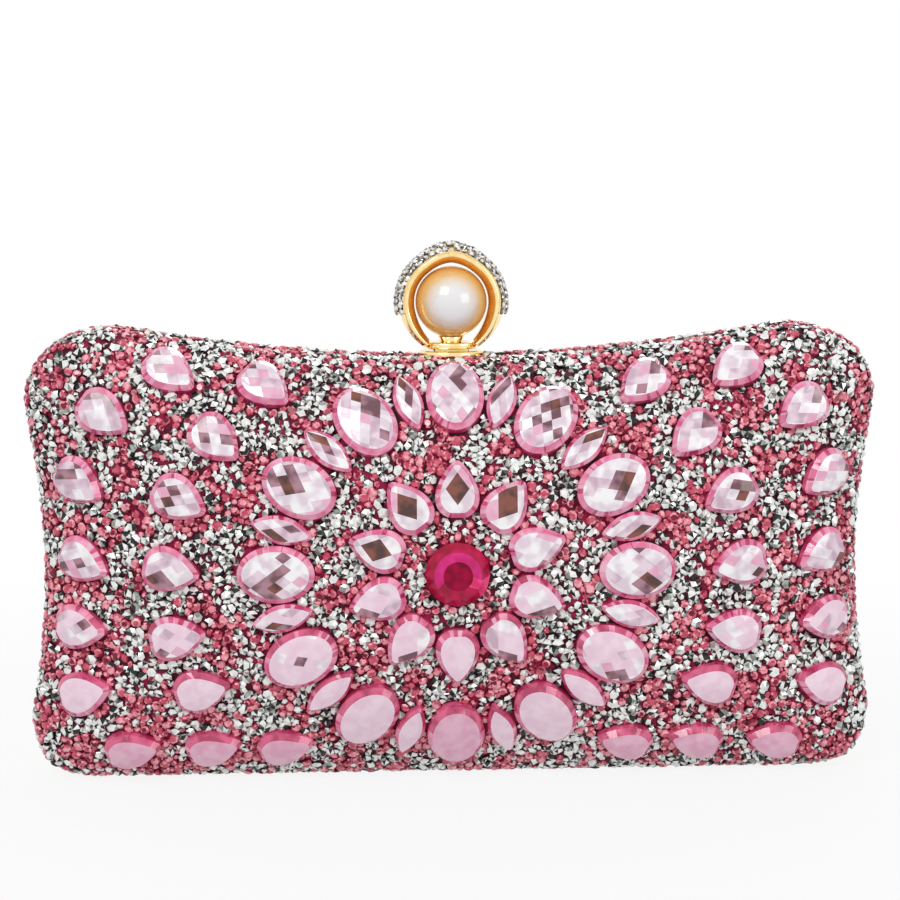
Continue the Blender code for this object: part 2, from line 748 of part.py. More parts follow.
def add_lever(lever_axis, gold):
    """The lever: a top plate, the block that turns in the collar and the nose of the catch."""
    mesh = loft_mesh("clasp_lever", [ellipse_loop(LEVER_DISC_HALF_WIDTH, LEVER_DISC_HALF_DEPTH, level)
                                     for level in (DISC_BOTTOM, DISC_TOP)])
    lever = make_object("clasp_lever", mesh, gold, lever_axis)
    half_block = WINDOW_HALF_WIDTH - GAP
    block = tool_box((-half_block, -(WINDOW_FRONT - GAP), COLLAR_BOTTOM),
                     (half_block, PIVOT_BACK + LEVER_HEEL, DISC_BOTTOM + LEVER_DISC_THICK / 2))
    nose = tool_box((-NOSE_HALF_WIDTH, -NOSE_FRONT, FRAME_TOP - NOSE_DROP),
                    (NOSE_HALF_WIDTH, -NOSE_BACK, PIVOT_HEIGHT))
    bore = tool_rod(PIVOT_BACK, PIVOT_HEIGHT, -WINDOW_HALF_WIDTH, WINDOW_HALF_WIDTH,
                    PIVOT_RADIUS + PIN_CLEARANCE)
    peg_hole = make_object("tool_peg_hole", lathe_mesh("tool_peg_hole", [
        (0, DISC_TOP - PEG_SINK - GAP), (PEG_BORE_RADIUS, DISC_TOP - PEG_SINK - GAP),
        (PEG_BORE_RADIUS, DISC_TOP + GAP), (0, DISC_TOP + GAP)], SMALL_SIDES))
    place_tools([block, nose, bore, peg_hole], lever)
    combine(lever, [block, nose], "UNION")
    combine(lever, [bore, peg_hole], "DIFFERENCE")
    shade_round(lever)


def add_catch(root, front, gold, steel):
    """The pivot pin, the catch plate in the front rim and the leaf spring behind the lever."""
    pin = rod_mesh(PIVOT_BACK, PIVOT_HEIGHT, -PIVOT_PIN_HALF_LENGTH, PIVOT_PIN_HALF_LENGTH, PIVOT_RADIUS)
    shade_round(make_object("clasp_pivot_pin", pin, steel, root))
    half_notch = NOSE_HALF_WIDTH + CATCH_NOTCH_ROOM
    front_edge = -(FRAME_DEPTH - PARTING_HALF)
    notch_front = front_edge + CATCH_LIP
    low = FRAME_TOP - CATCH_THICK
    outline = [(-CATCH_HALF_WIDTH, -GAP), (-CATCH_HALF_WIDTH, front_edge), (CATCH_HALF_WIDTH, front_edge),
               (CATCH_HALF_WIDTH, -GAP), (half_notch, -GAP), (half_notch, notch_front),
               (-half_notch, notch_front), (-half_notch, -GAP)]
    plate = loft_mesh("clasp_catch_plate", [[(x, y, z) for x, y in outline] for z in (low, FRAME_TOP)])
    make_object("clasp_catch_plate", plate, steel, front)
    wall = WINDOW_BACK - SPRING_ROOM
    rear_line = []
    for step in range(SPRING_STEPS + 1):
        share = step / SPRING_STEPS
        rear_line.append((wall - SPRING_LEAN * share ** 2, COLLAR_BOTTOM + SPRING_HEIGHT * share))
    front_line = [(y - SPRING_THICK, z) for y, z in reversed(rear_line)]
    strip = loft_mesh("clasp_leaf_spring", [[(x, y, z) for y, z in rear_line + front_line]
                                            for x in (-SPRING_HALF_WIDTH, SPRING_HALF_WIDTH)])
    make_object("clasp_leaf_spring", strip, steel, root)


# Ring and pearl

def ring_point(radius, depth, degrees):
    """A point of the ring's section round the pearl: a soft point at the top, slim legs at the foot."""
    turn = math.radians(degrees)
    away = abs(degrees - RING_TOP)
    outer_share = min(1, (radius - RING_INNER_RADIUS) / (RING_CREST_RADIUS - RING_INNER_RADIUS))
    point_share = max(0, 1 - away / RING_POINT_SPREAD)
    rise_share = RING_ARCH_SHARE + (1 - RING_ARCH_SHARE) * outer_share
    leg_share = max(0, (away - RING_LEG_SPREAD) / (RING_TOP - RING_START - RING_LEG_SPREAD))
    reach = radius + RING_POINT_RISE * point_share * rise_share
    reach += RING_LEG_RISE * leg_share ** 2 * (1 - outer_share)
    return (reach * math.cos(turn), depth, PEARL_HEIGHT + reach * math.sin(turn))


def sweep_section(name, section, start, end, steps):
    """A solid swept round the pearl from one direction to another."""
    loops = []
    for step in range(steps + 1):
        degrees = start + (end - start) * step / steps
        loops.append([ring_point(radius, depth, degrees) for radius, depth in section])
    return loft_mesh(name, loops)


def outer_section(radius_edge, radius_crest):
    """The outer side of the ring's section, from front to rear."""
    return [(radius_edge, -RING_HALF_DEPTH), (radius_crest, -RING_CREST_HALF_DEPTH),
            (radius_crest, RING_CREST_HALF_DEPTH), (radius_edge, RING_HALF_DEPTH)]


def add_ring(lever_axis, gold, clear):
    """The gold ring, cut to stand on and around the lever's top plate, and its two stone strips."""
    section = outer_section(RING_EDGE_RADIUS + RING_EDGE_THICK, RING_CREST_RADIUS)
    section += [(RING_EDGE_RADIUS, RING_HALF_DEPTH), (RING_INNER_RADIUS, RING_CREST_HALF_DEPTH),
                (RING_INNER_RADIUS, -RING_CREST_HALF_DEPTH), (RING_EDGE_RADIUS, -RING_HALF_DEPTH)]
    mesh = sweep_section("clasp_ring", section, RING_START, 180 - RING_START, RING_STEPS)
    ring = make_object("clasp_ring", mesh, gold, lever_axis)
    seat = loft_mesh("tool_seat", [ellipse_loop(LEVER_DISC_HALF_WIDTH + GAP, LEVER_DISC_HALF_DEPTH + GAP, level)
                                   for level in (COLLAR_TOP, DISC_TOP + GAP)])
    tool = make_object("tool_seat", seat)
    place_tools([tool], ring)
    combine(ring, [tool], "DIFFERENCE")
    shade_round(ring)
    edge = RING_EDGE_RADIUS + RING_EDGE_THICK + GAP
    crest = RING_CREST_RADIUS + GAP
    strip = outer_section(edge, crest) + outer_section(edge + STRIP_EDGE_THICK, crest + STRIP_THICK)[::-1]
    for name, start, end in (("ring_crystals_right", STRIP_START, STRIP_END),
                             ("ring_crystals_left", 180 - STRIP_START, 180 - STRIP_END)):
        mesh = sweep_section(name, strip, start, end, STRIP_STEPS)
        make_object(name, mesh, clear, lever_axis)


def seat_height(radius):
    """Height of the cup's hollow, which follows the pearl at a small distance."""
    return PEARL_HEIGHT - math.sqrt((PEARL_RADIUS + GAP) ** 2 - radius ** 2)


def add_pearl(lever_axis, gold, nacre):
    """The pearl with its bore, the cup under it and the peg that holds both."""
    profile = []
    for step in range(PEARL_RINGS + 1):
        turn = math.pi * step / PEARL_RINGS
        radius = 0 if step in (0, PEARL_RINGS) else PEARL_RADIUS * math.sin(turn)
        profile.append((radius, -PEARL_RADIUS * math.cos(turn)))
    pearl = make_object("pearl", lathe_mesh("pearl", profile, 2 * PEARL_RINGS, PEARL_HEIGHT), nacre, lever_axis)
    pearl_bottom = PEARL_HEIGHT - PEARL_RADIUS
    bore_top = pearl_bottom + PEARL_BORE_DEPTH
    bore = make_object("tool_bore", lathe_mesh("tool_bore", [
        (0, pearl_bottom - CUP_FLOOR), (PEG_BORE_RADIUS, pearl_bottom - CUP_FLOOR),
        (PEG_BORE_RADIUS, bore_top), (0, bore_top)], SMALL_SIDES))
    place_tools([bore], pearl)
    combine(pearl, [bore], "DIFFERENCE")
    shade_round(pearl)

    rim_radius = CUP_RADIUS + CUP_FLARE
    hole = PEG_BORE_RADIUS
    middle = (hole + CUP_RADIUS) / 2
    cup = lathe_mesh("pearl_cup", [
        (hole, CUP_BOTTOM), (CUP_RADIUS, CUP_BOTTOM), (rim_radius, seat_height(rim_radius)),
        (CUP_RADIUS, seat_height(CUP_RADIUS)), (middle, seat_height(middle)),
        (hole, seat_height(hole))], ROUND_SIDES)
    shade_round(make_object("pearl_cup", cup, gold, lever_axis))
    peg_low = DISC_TOP - PEG_SINK
    peg_top = bore_top - GAP
    peg = lathe_mesh("pearl_peg", [(0, peg_low), (PEG_RADIUS, peg_low), (PEG_RADIUS, peg_top), (0, peg_top)],
                     SMALL_SIDES)
    shade_round(make_object("pearl_peg", peg, gold, lever_axis))


def build():
    """Build the whole clutch."""
    clear_scene()
    crust = make_material("crystal_crust", (0.46, 0.12, 0.19), 0.25, 0.0)
    metal = make_material("shell_metal", (0.62, 0.55, 0.42), 0.35, 1.0)
    satin = make_material("lining_satin", (0.35, 0.05, 0.12), 0.55, 0.0)
    gold = make_material("gold", (0.83, 0.6, 0.25), 0.18, 1.0)
    steel = make_material("pin_steel", (0.62, 0.62, 0.64), 0.25, 1.0)
    ruby = make_material("ruby_glass", (0.6, 0.03, 0.17), 0.05, 0.0)
    pink = make_material("pink_glass", (0.87, 0.5, 0.64), 0.05, 0.0)
    clear = make_material("clear_crystal", (0.85, 0.86, 0.88), 0.05, 0.0)
    nacre = make_material("pearl_nacre", (0.85, 0.82, 0.79), 0.2, 0.0)

    root = make_axis("rear_half_root", 0.0, 0.0)
    front = make_axis("front_half_axis", 0.0, HINGE_HEIGHT, root)
    lever_axis = make_axis("clasp_lever_axis", PIVOT_BACK, PIVOT_HEIGHT, root)
    add_skins(root, front, metal, satin)
    add_frames(root, front, gold)
    add_crusts(root, front, crust)
    add_stones(front, ruby, pink)
    add_hinges(root, front, gold, steel)
    add_collar(root, gold)
    add_lever(lever_axis, gold)
    add_catch(root, front, gold, steel)
    add_ring(lever_axis, gold, clear)
    add_pearl(lever_axis, gold, nacre)


build()
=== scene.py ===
"""Looks of the evening clutch: its glue skin, its stones, its clasp and its satin linings.

Metres, +Z up, front towards -Y. The sizes and formulas of the box are the ones its solids are made from.
"""

import math

import bmesh
import bpy
import numpy as np
from mathutils import Matrix, Vector, noise


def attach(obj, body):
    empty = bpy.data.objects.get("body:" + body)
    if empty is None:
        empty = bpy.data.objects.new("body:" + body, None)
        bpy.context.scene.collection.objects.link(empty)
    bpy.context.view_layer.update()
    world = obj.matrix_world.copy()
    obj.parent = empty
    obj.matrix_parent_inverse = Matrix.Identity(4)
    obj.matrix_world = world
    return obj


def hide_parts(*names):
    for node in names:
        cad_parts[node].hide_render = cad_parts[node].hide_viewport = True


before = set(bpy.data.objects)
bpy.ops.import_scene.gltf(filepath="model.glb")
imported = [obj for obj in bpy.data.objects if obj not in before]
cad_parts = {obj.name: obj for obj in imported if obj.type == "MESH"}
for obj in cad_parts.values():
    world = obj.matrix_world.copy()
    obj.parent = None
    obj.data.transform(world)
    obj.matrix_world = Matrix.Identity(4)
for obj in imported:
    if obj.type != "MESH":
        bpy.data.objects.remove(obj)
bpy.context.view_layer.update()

# Sizes of the box, as in its source
BODY_WIDTH = 0.2026
BODY_HEIGHT = 0.1074
TOP_SAG = 0.0074
TOP_SAG_REACH = 0.08
SIDE_SAG = 0.0042
SIDE_SAG_REACH = 0.038
BOTTOM_TAPER = 0.0009
TOP_CORNER_POWER = 3.8
BOTTOM_CORNER_POWER = 5.8
WALL_DEPTH = 0.0055
SHOULDER_REACH = 0.032
SHOULDER_RISE = 0.0105
CROWN = 0.0095
CRUST_THICK = 0.0021
SKIN_EDGE = 0.0033
SHELL_LAYER = 0.0024
SHELL_THICK = 0.0012
LINING_LAYER = 0.0044
LINING_THICK = 0.0008
GAP = 0.0003
HALF_WIDTH = BODY_WIDTH / 2
HALF_HEIGHT = BODY_HEIGHT / 2
TOP_MIDDLE = BODY_HEIGHT - TOP_SAG

# Steps of its curved surfaces
SOLVE_STEPS = 40
FINE_DIRECTIONS = 4000
SKIN_COLUMNS = 200
SHOULDER_ROWS = 14
CAP_ROWS = 9

# Sizes of the large stones and their places, as in the source
CENTRE_HEIGHT = 0.0033
STONE_HEIGHT = 0.0026
NAVETTE_HEIGHT = 0.0019
STONE_SEAT = 0.0012
GIRDLE_HEIGHT = 0.0007
SLOPE_REACH = 0.005
ROUND_SHARE = 0.14
PETAL_SHARES = (0.13, 0.095)
OVAL_SHARES = (0.168, 0.126)
NAVETTE_SHARES = (0.14, 0.0615)
DROP_SIZE_SHARES = (0.131, 0.0985)
ROSETTE_SHARE = 0.4815
OVAL_RING_SHARE = 0.483
PETAL_RING_HALF_SHARES = (0.0967, 0.1825)
OVAL_RING_HALF_SHARES = (0.2063, 0.3705)
PETAL_COUNT = 10
OVAL_COUNT = 12
BETWEEN_SHARE = 0.5
TEARDROP_POWER = 0.8
TEARDROP_FULLNESS = 1.25
DROP_PLACE_SHARES = (
    (0.649, 0.908, -43),
    (0.433, 0.877, -47),
    (0.799, 0.822, -35),
    (0.545, 0.769, -44),
    (0.858, 0.674, -30),
    (0.628, 0.644, -28),
    (0.851, 0.502, -20),
    (0.650, 0.491, -12),
    (0.863, 0.355, -5),
    (0.639, 0.343, 9),
    (0.857, 0.211, 13),
    (0.585, 0.224, 15),
    (0.750, 0.079, 15),
    (0.562, 0.083, 20),
    (0.395, 0.084, 22),
)

# Facets and tones of the large stones; their tones are mostly painted light: highlights, reflections and shade
# in the glass
RIM_WIDTHS = {"petal": 0.00115, "teardrop": 0.00115, "oval": 0.0012, "navette": 0.0008}
TIP_TRIM = 0.0004
DOME_SIDES = 36
DOME_BASE_SHARE = 0.62
LATTICE = {"petal": 1.08, "teardrop": 0.56, "oval": 0.42, "navette": 0.6}
# Painted dark reflections: mauve and brown facets round a spot on the higher stones, set by the counts,
# reaches and fades below
DARK_CELLS = {"petal": (1, 2), "teardrop": (1, 3), "oval": (4, 7), "navette": (2, 3)}
DARK_REACH = {"petal": 0.0045, "teardrop": 0.0038, "oval": 0.005, "navette": 0.0032}
DARK_LENGTH_SHARES = {"petal": 1.0, "teardrop": 1.0, "oval": 0.75, "navette": 0.3}
DARK_LEVEL_SHARE = 0.615
DARK_ASIDE_SHARE = 0.05
DARK_RISE_SHARE = 0.18
DARK_DRIFT = 0.0004
BROWN_FADE = 0.03
DARK_FADE = 0.05
DARK_AREA = 0.000001
# Share of painted reflections on a dome: none at the low share of the box's height, all at the rise above it
REFLECTION_LOW_SHARE = 0.24
REFLECTION_RISE_SHARE = 0.24
PINK_BELOW_SHARE = 0.12
RIM_TONE = 0
DEEP_SHADE_TONE = 1
MIDDLE_TONE = 4
CALM_TONE = 5
MAUVE_TONE = 6
BROWN_TONE = 7
# Tones of the painted reflections: white highlight, pale, middle pink and mauve; low stones take an even pale
# tone instead
FACET_TONES = (2, 3, MIDDLE_TONE, MAUVE_TONE)
REFLECTION_WEIGHTS = {"petal": (0.66, 0.3, 0.04, 0.0), "teardrop": (0.42, 0.38, 0.12, 0.08),
                  "oval": (0.48, 0.36, 0.06, 0.1), "navette": (0.54, 0.38, 0.04, 0.04)}
# Rim facets of low stones above this upward share take the deeper pink as painted shade
RIM_SHADE_LOW = 0.14
RIM_DEEP_CHANCE = 0.14
RIM_PALE_CHANCE = 0.2
# Chance and most count of brown facets among the painted dark reflections
BROWN_CHANCE = {"petal": 1.0, "teardrop": 0.4, "oval": 1.0, "navette": 1.0}
BROWN_MOST = 2
LATTICE_LINES = 6
LATTICE_LEAD = 0.5
LATTICE_SNAP = 0.00004
RUBY_CROWN_TONE = 0
RUBY_GLINT_TONE = 3
RUBY_SIDES = 16
# Rows of the centre stone: reach, height, turn ahead and tone; the bright ring and dark table are painted
# light from inside the stone
RUBY_ROWS = (
    (1.0, -0.36, 0.0, RUBY_CROWN_TONE),
    (1.0, 0.24, 0.0, RUBY_CROWN_TONE),
    (0.74, 0.84, 0.5, 1),
    (0.46, 1.0, 0.0, 2),
)
RUBY_GLINT_TURN = -0.4
RUBY_GLINT_SPREAD = 0.24
RUBY_SHADE_SHARE = 0.25
GEM_SEED = 31

# Sizes of the clasp, as in the source
COLLAR_HALF_WIDTH = 0.0076
COLLAR_HALF_DEPTH = 0.0062
COLLAR_THICK = 0.0016
COLLAR_SINK = 0.0005
COLLAR_FOOT_WIDTH = 0.0015
COLLAR_FOOT_GAP = 0.00045
NOSE_HALF_WIDTH = 0.0025
NOSE_FRONT = 0.0015
NOSE_BACK = 0.0008
NOSE_DROP = 0.0008
FRAME_DEPTH = 0.003
FRAME_BREADTH = 0.0038
FLOOR_CLEARANCE = 0.00025
KNUCKLE_RADIUS = 0.001
HINGE_OFFSET = 0.055
HINGE_LENGTH = 0.024
PARTING_GAP = 0.0003
HINGE_HEIGHT = FLOOR_CLEARANCE + KNUCKLE_RADIUS
FRAME_INSET = HINGE_HEIGHT + FLOOR_CLEARANCE
FRAME_TOP = TOP_MIDDLE - FRAME_INSET
CATCH_HALF_WIDTH = 0.005
CATCH_THICK = 0.0008
WINDOW_HALF_WIDTH = 0.0042
WINDOW_FRONT = 0.0032
PIVOT_BACK = 0.003
PIVOT_RADIUS = 0.00035
PIN_CLEARANCE = 0.00015
LEVER_HEEL = 0.0009
WINDOW_HEEL_ROOM = 0.0012
LEVER_DISC_GAP = 0.0004
LEVER_DISC_THICK = 0.0016
LEVER_DISC_HALF_WIDTH = 0.006
LEVER_DISC_HALF_DEPTH = 0.0042
PEARL_RADIUS = 0.0085
CUP_RADIUS = 0.0028
CUP_FLOOR = 0.0004
RING_HALF_DEPTH = 0.0044
RING_CREST_HALF_DEPTH = 0.0016
RING_INNER_RADIUS = 0.009
RING_EDGE_RADIUS = 0.0103
RING_EDGE_THICK = 0.0009
RING_CREST_RADIUS = 0.0124
RING_POINT_RISE = 0.0009
RING_LEG_RISE = 0.0014
RING_ARCH_SHARE = 0.6
RING_START = -60
RING_TOP = 90
RING_POINT_SPREAD = 35
RING_LEG_SPREAD = 100
STRIP_START = -12
COLLAR_BOTTOM = TOP_MIDDLE - COLLAR_SINK
COLLAR_TOP = COLLAR_BOTTOM + COLLAR_THICK
PIVOT_HEIGHT = COLLAR_BOTTOM + COLLAR_THICK / 2
DISC_BOTTOM = COLLAR_TOP + LEVER_DISC_GAP
DISC_TOP = DISC_BOTTOM + LEVER_DISC_THICK
CUP_BOTTOM = DISC_TOP + GAP
PEARL_HEIGHT = CUP_BOTTOM + CUP_FLOOR + GAP + PEARL_RADIUS
PARTING = Vector((0, CENTRE_HEIGHT / 2, 0))

# Finer forms of the clasp
PLATE_BEVEL = 0.0005
BEVEL_STEPS = 4
PLATE_SIDES = 72
ROD_SIDES = 16
SHARP_TURN = 38
BORE_SHARE = 1.1
CORNER_SHARE = 0.45
CORNER_STEPS = 3
BAND_INNER_RADIUS = 0.0088
BAND_BEVEL = 0.00028
BAND_OVERLAP = 3
BAND_TAPER = 24
BAND_NARROW = 0.12
BAND_FLARE = 0.05
BAND_STEPS = 90
PAVE_SINK = 0.00005
PAVE_BED = 0.0007
PAVE_COUNT = 13
PAVE_LEAD = 0.25
PAVE_RADIUS = 0.00092
PAVE_ROW_SHARES = (0.27, 0.87)
PAVE_SEED = 17
PEARL_STEPS = 40
TURNED_SIDES = 64
CUP_FLARE = 0.0003
CUP_LIP = 0.0002
CUP_FOOT_SHARE = 0.86
CUP_BEND_SHARE = 0.96
CUP_BEND_RISE_SHARE = 0.3
CUP_SIDE_SHARE = 0.94

# Small stones
GLUE_LAYER = 0.0007
STONE_SPACING = 0.00212
FILLER_SPACING = 0.00138
FILLER_SHARE = 0.72
SILVER_RADIUS = 0.00134
ROSE_RADIUS = 0.00126
STONE_MARGIN = 0.0005
TRIES = 120000
PATCH_SCALE = 150.0
PATCH_STRENGTH = 1.1
SILVER_SHARE = 0.6
CRUST_SEEDS = {"rear": 5, "front": 9}
SIZE_SPREAD = (0.84, 1.16)
STRETCH_SPREAD = (0.86, 1.14)
HEIGHT_SPREAD = (0.88, 1.12)
TILT_SHARE = 0.6
UPRIGHT_SHARE = 0.8
WALL_SHARE = 0.2
TINY = 1e-12
SHADED_SIDE_GROUP = 10
FINE_SIDES = 120

# Folds of the linings and edges of the rims
FOLD_DEPTH = 0.0021
FOLD_REACH = 1.15
FOLD_POWER = 1.2
FOLD_SCALE = 14
FOLD_DRIFT = 1.2
FOLD_APART = 3
RIPPLE_SCALE = 60
FOLD_SHARES = (0.5, 0.8, 0.4)
RIM_EASE = 0.0004
RIM_COLUMNS = 320

# Finishes
NOISE_RANGE = (0.3, 0.7)
RAMP_MIDDLE = 0.5
GLASS_STOPS = (0.38, 0.62)
GLASS_POLISH_SHARES = (0.7, 1.4)
GLASS_COAT_ROUGHNESS = 0.03
METAL_STOPS = (0.35, 0.65)
METAL_POLISH_SHARES = (0.75, 1.35)
METAL_NOISE = (420.0, 3.0)
SCRATCH_SCALE = 2600.0
SCRATCH_RELIEF = (0.00003, 0.35)
GLUE_RELIEF = (0.0003, 0.8)
WEAVE_SCALE = 1100.0
WEAVE_BEND = 0.6
WEAVE_RELIEF = (0.00008, 0.5)
NACRE_RELIEF = (0.00002, 0.3)

# Floor, lamps, world and camera
FLOOR_COLOUR = (0.7, 0.7, 0.7, 1)
FLOOR_REACH = 3.0
FLOOR_DROP = 0.0003
WORLD_LIGHT = 0.55
FLOOR_CLEAR_SHARE = 0.88
FLOOR_FADE = (0.08, 0.3)
AIM = Vector((0, 0, 0.06))
CAMERA_LENS = 100.4
CAMERA_ANGLES = (-2.89, 7.77, 0.194)
CAMERA_AIM = Vector((-0.00036, 0, 0.07708))
CAMERA_DISTANCE = 0.6
CAMERA_SENSOR = 36.0
LAMPS = (
    ("key_lamp", (-0.45, -0.8, 0.85), 5.0, 0.5),
    ("fill_lamp", (0.7, -0.7, 0.35), 2.0, 0.5),
    ("back_lamp", (0.2, 0.9, 0.8), 3.0, 0.5),
)

UPWARD = 90
HALF_TURN = 180
FULL_TURN = 360


def rgb(red, green, blue):
    """Linear colour of a screen colour given in 0 to 255, by the standard curve of screens."""
    shares = [value / 255 for value in (red, green, blue)]
    return tuple(s / 12.92 if s <= 0.04045 else ((s + 0.055) / 1.055) ** 2.4 for s in shares)


def circle(count, ahead=0):
    """Even directions of a full circle."""
    return [2 * math.pi * (step + ahead) / count for step in range(count)]


# Shape of the box, for arrays of places

def side_edge(height):
    """Half the outline's width at a height, before the corners round it off."""
    reach_share = np.minimum(1, ((height - HALF_HEIGHT) / SIDE_SAG_REACH) ** 2)
    return HALF_WIDTH - SIDE_SAG * (1 - reach_share) - BOTTOM_TAPER * (1 - height / BODY_HEIGHT)


def top_edge(across):
    """Height of the sagging top edge."""
    return BODY_HEIGHT - TOP_SAG * (1 - np.minimum(1, (across / TOP_SAG_REACH) ** 2))


def inset_at(across, height):
    """Distance inside the outline, up to the shoulder's reach."""
    upper = height > HALF_HEIGHT
    power = np.where(upper, TOP_CORNER_POWER, BOTTOM_CORNER_POWER)
    upright = np.where(upper, top_edge(across) - height, height)
    from_side = np.maximum(0, SHOULDER_REACH - (side_edge(height) - np.abs(across)))
    from_end = np.maximum(0, SHOULDER_REACH - upright)
    return SHOULDER_REACH - (from_side ** power + from_end ** power) ** (1 / power)


def depth_on_turn(across, height, layer, turn):
    """Depth from the parting plane of a layer at a given turn of its shoulder."""
    across_share = np.minimum(1, (across / HALF_WIDTH) ** 2)
    upright_share = np.minimum(1, ((height - HALF_HEIGHT) / HALF_HEIGHT) ** 2)
    crown = CROWN * (1 - across_share) * (1 - upright_share)
    return WALL_DEPTH + np.sin(turn) * (SHOULDER_RISE - layer + crown)


def depth_at(across, height, layer=0.0):
    """Depth from the parting plane of a layer at any place inside its outline."""
    reach = SHOULDER_REACH - layer
    inside = np.clip(inset_at(across, height) - layer, 0, reach)
    return depth_on_turn(across, height, layer, np.arccos(1 - inside / reach))


def outline_ring(inset, turns):
    """Places (across, height) at one inset from the outline, one for each direction."""
    low = np.zeros(len(turns))
    high = np.full(len(turns), BODY_WIDTH)
    for _ in range(SOLVE_STEPS):
        middle = (low + high) / 2
        within = inset_at(middle * np.cos(turns), HALF_HEIGHT + middle * np.sin(turns)) >= inset
        low = np.where(within, middle, low)
        high = np.where(within, high, middle)
    return low * np.cos(turns), HALF_HEIGHT + low * np.sin(turns)


def even_turns(count):
    """Directions that part the outline into pieces of equal length."""
    fine = np.linspace(0, 2 * math.pi, FINE_DIRECTIONS + 1)
    x, z = outline_ring(0.0, fine)
    length = np.concatenate(([0], np.cumsum(np.hypot(np.diff(x), np.diff(z)))))
    return np.interp(np.arange(count) / count * length[-1], length, fine)


def skin_rows(layer, side, turns):
    """Rows of points of one curved surface of a half, from its edge inward; the last row is the middle."""
    x, z = outline_ring(layer, turns)
    rows = [np.stack((x, np.full_like(x, SKIN_EDGE), z), axis=1)]
    for share in np.linspace(0, 1, SHOULDER_ROWS + 1):
        turn = share * math.pi / 2
        if share > 0:
            x, z = outline_ring(layer + (SHOULDER_REACH - layer) * (1 - math.cos(turn)), turns)
        rows.append(np.stack((x, depth_on_turn(x, z, layer, turn), z), axis=1))
    for share in np.linspace(1, 0, CAP_ROWS + 1)[1:-1]:
        inner_x = x * share
        inner_z = HALF_HEIGHT + (z - HALF_HEIGHT) * share
        rows.append(np.stack((inner_x, depth_on_turn(inner_x, inner_z, layer, math.pi / 2), inner_z), axis=1))
    middle = np.array([[0.0, float(depth_at(np.float64(0), np.float64(HALF_HEIGHT), layer)), HALF_HEIGHT]])
    for row in rows + [middle]:
        row[:, 1] *= side
    return rows, middle


# Meshes

def link_object(name, mesh, materials):
    """An object of a mesh with its materials, in the scene."""
    for material in materials:
        mesh.materials.append(material)
    obj = bpy.data.objects.new(name, mesh)
    bpy.context.scene.collection.objects.link(obj)
    return obj


def add_mesh(name, points, faces, materials, slots=None, rounded=False):
    """An object from points of the box's own frame, moved to where the frame has the parting plane.

    A rounded one is a closed body: its faces are turned outward and shaded smooth.
    """
    mesh = bpy.data.meshes.new(name)
    mesh.from_pydata((np.asarray(points, dtype=float) + np.array(PARTING)).tolist(), [], faces)
    if slots is not None:
        mesh.polygons.foreach_set("material_index", slots)
    if rounded:
        bm = bmesh.new()
        bm.from_mesh(mesh)
        bmesh.ops.recalc_face_normals(bm, faces=bm.faces)
        bm.to_mesh(mesh)
        bm.free()
    mesh.polygons.foreach_set("use_smooth", [rounded] * len(mesh.polygons))
    mesh.update()
    return link_object(name, mesh, materials)


def declare(piece, body, slot, *nodes):
    """Attach a piece to the body it rides on and hide the nodes it stands for; the slot, which names its
    finish, is not used.
    """
    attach(piece, body)
    if nodes:
        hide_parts(*nodes)


def bridge(first, second, count):
    """Quads between two rows of points that close on themselves, each given by its first point."""
    steps = [(step, (step + 1) % count) for step in range(count)]
    return [(first + step, first + after, second + after, second + step) for step, after in steps]


def fan(first, middle, count):
    """Triangles between such a row and one point."""
    return [(first + step, first + (step + 1) % count, middle) for step in range(count)]


def row_faces(rows, count, start=0):
    """Quads between each row and the next."""
    starts = [start + row * count for row in range(rows)]
    return [face for first, second in zip(starts, starts[1:]) for face in bridge(first, second, count)]


def skin_faces(rows, start=0):
    """Faces of one curved surface of a half: quads between its rows, and a fan round its middle."""
    last = start + (rows - 1) * SKIN_COLUMNS
    return row_faces(rows, SKIN_COLUMNS, start), fan(last, last + SKIN_COLUMNS, SKIN_COLUMNS)


def skin_solid(name, side, layers, material, shape_inner=None):
    """A closed curved layer of a half between two depths."""
    turns = even_turns(SKIN_COLUMNS)
    points = []
    faces = []
    starts = []
    for number, layer in enumerate(layers):
        rows, middle = skin_rows(layer, side, turns)
        if number == 1 and shape_inner is not None:
            rows = shape_inner(rows, side)
        starts.append(sum(len(part) for part in points))
        points.extend(rows + [middle])
        for group in skin_faces(len(rows), starts[-1]):
            faces.extend(group)
    faces.extend(bridge(*starts, SKIN_COLUMNS))
    return add_mesh(name, np.concatenate(points), faces, [material], rounded=True)


# Materials

def feed(node, inputs):
    """Set a node's inputs to values, or link them to outputs of other nodes."""
    for name, value in inputs.items():
        if isinstance(value, bpy.types.NodeSocket):
            node.id_data.links.new(value, node.inputs[name])
        else:
            node.inputs[name].default_value = value
    return node


def add_node(tree, kind, inputs=None, **settings):
    """A new node with its settings and inputs."""
    node = tree.nodes.new(kind)
    for setting, value in settings.items():
        setattr(node, setting, value)
    return feed(node, inputs or {})


def object_noise(tree, scale, detail):
    """Noise in the object's own metres."""
    place = add_node(tree, "ShaderNodeTexCoord").outputs["Object"]
    inputs = {"Scale": scale, "Detail": detail, "Vector": place}
    return add_node(tree, "ShaderNodeTexNoise", inputs).outputs["Fac"]


def colour_steps(tree, value, stops):
    """A colour ramp driven by a value; stops are (place, screen colour)."""
    ramp = add_node(tree, "ShaderNodeValToRGB", {"Fac": value})
    elements = ramp.color_ramp.elements
    while len(elements) < len(stops):
        elements.new(RAMP_MIDDLE)
    for element, (place, colour) in zip(elements, stops):
        element.position = place
        element.color = (*rgb(*colour), 1.0)
    return ramp.outputs["Color"]


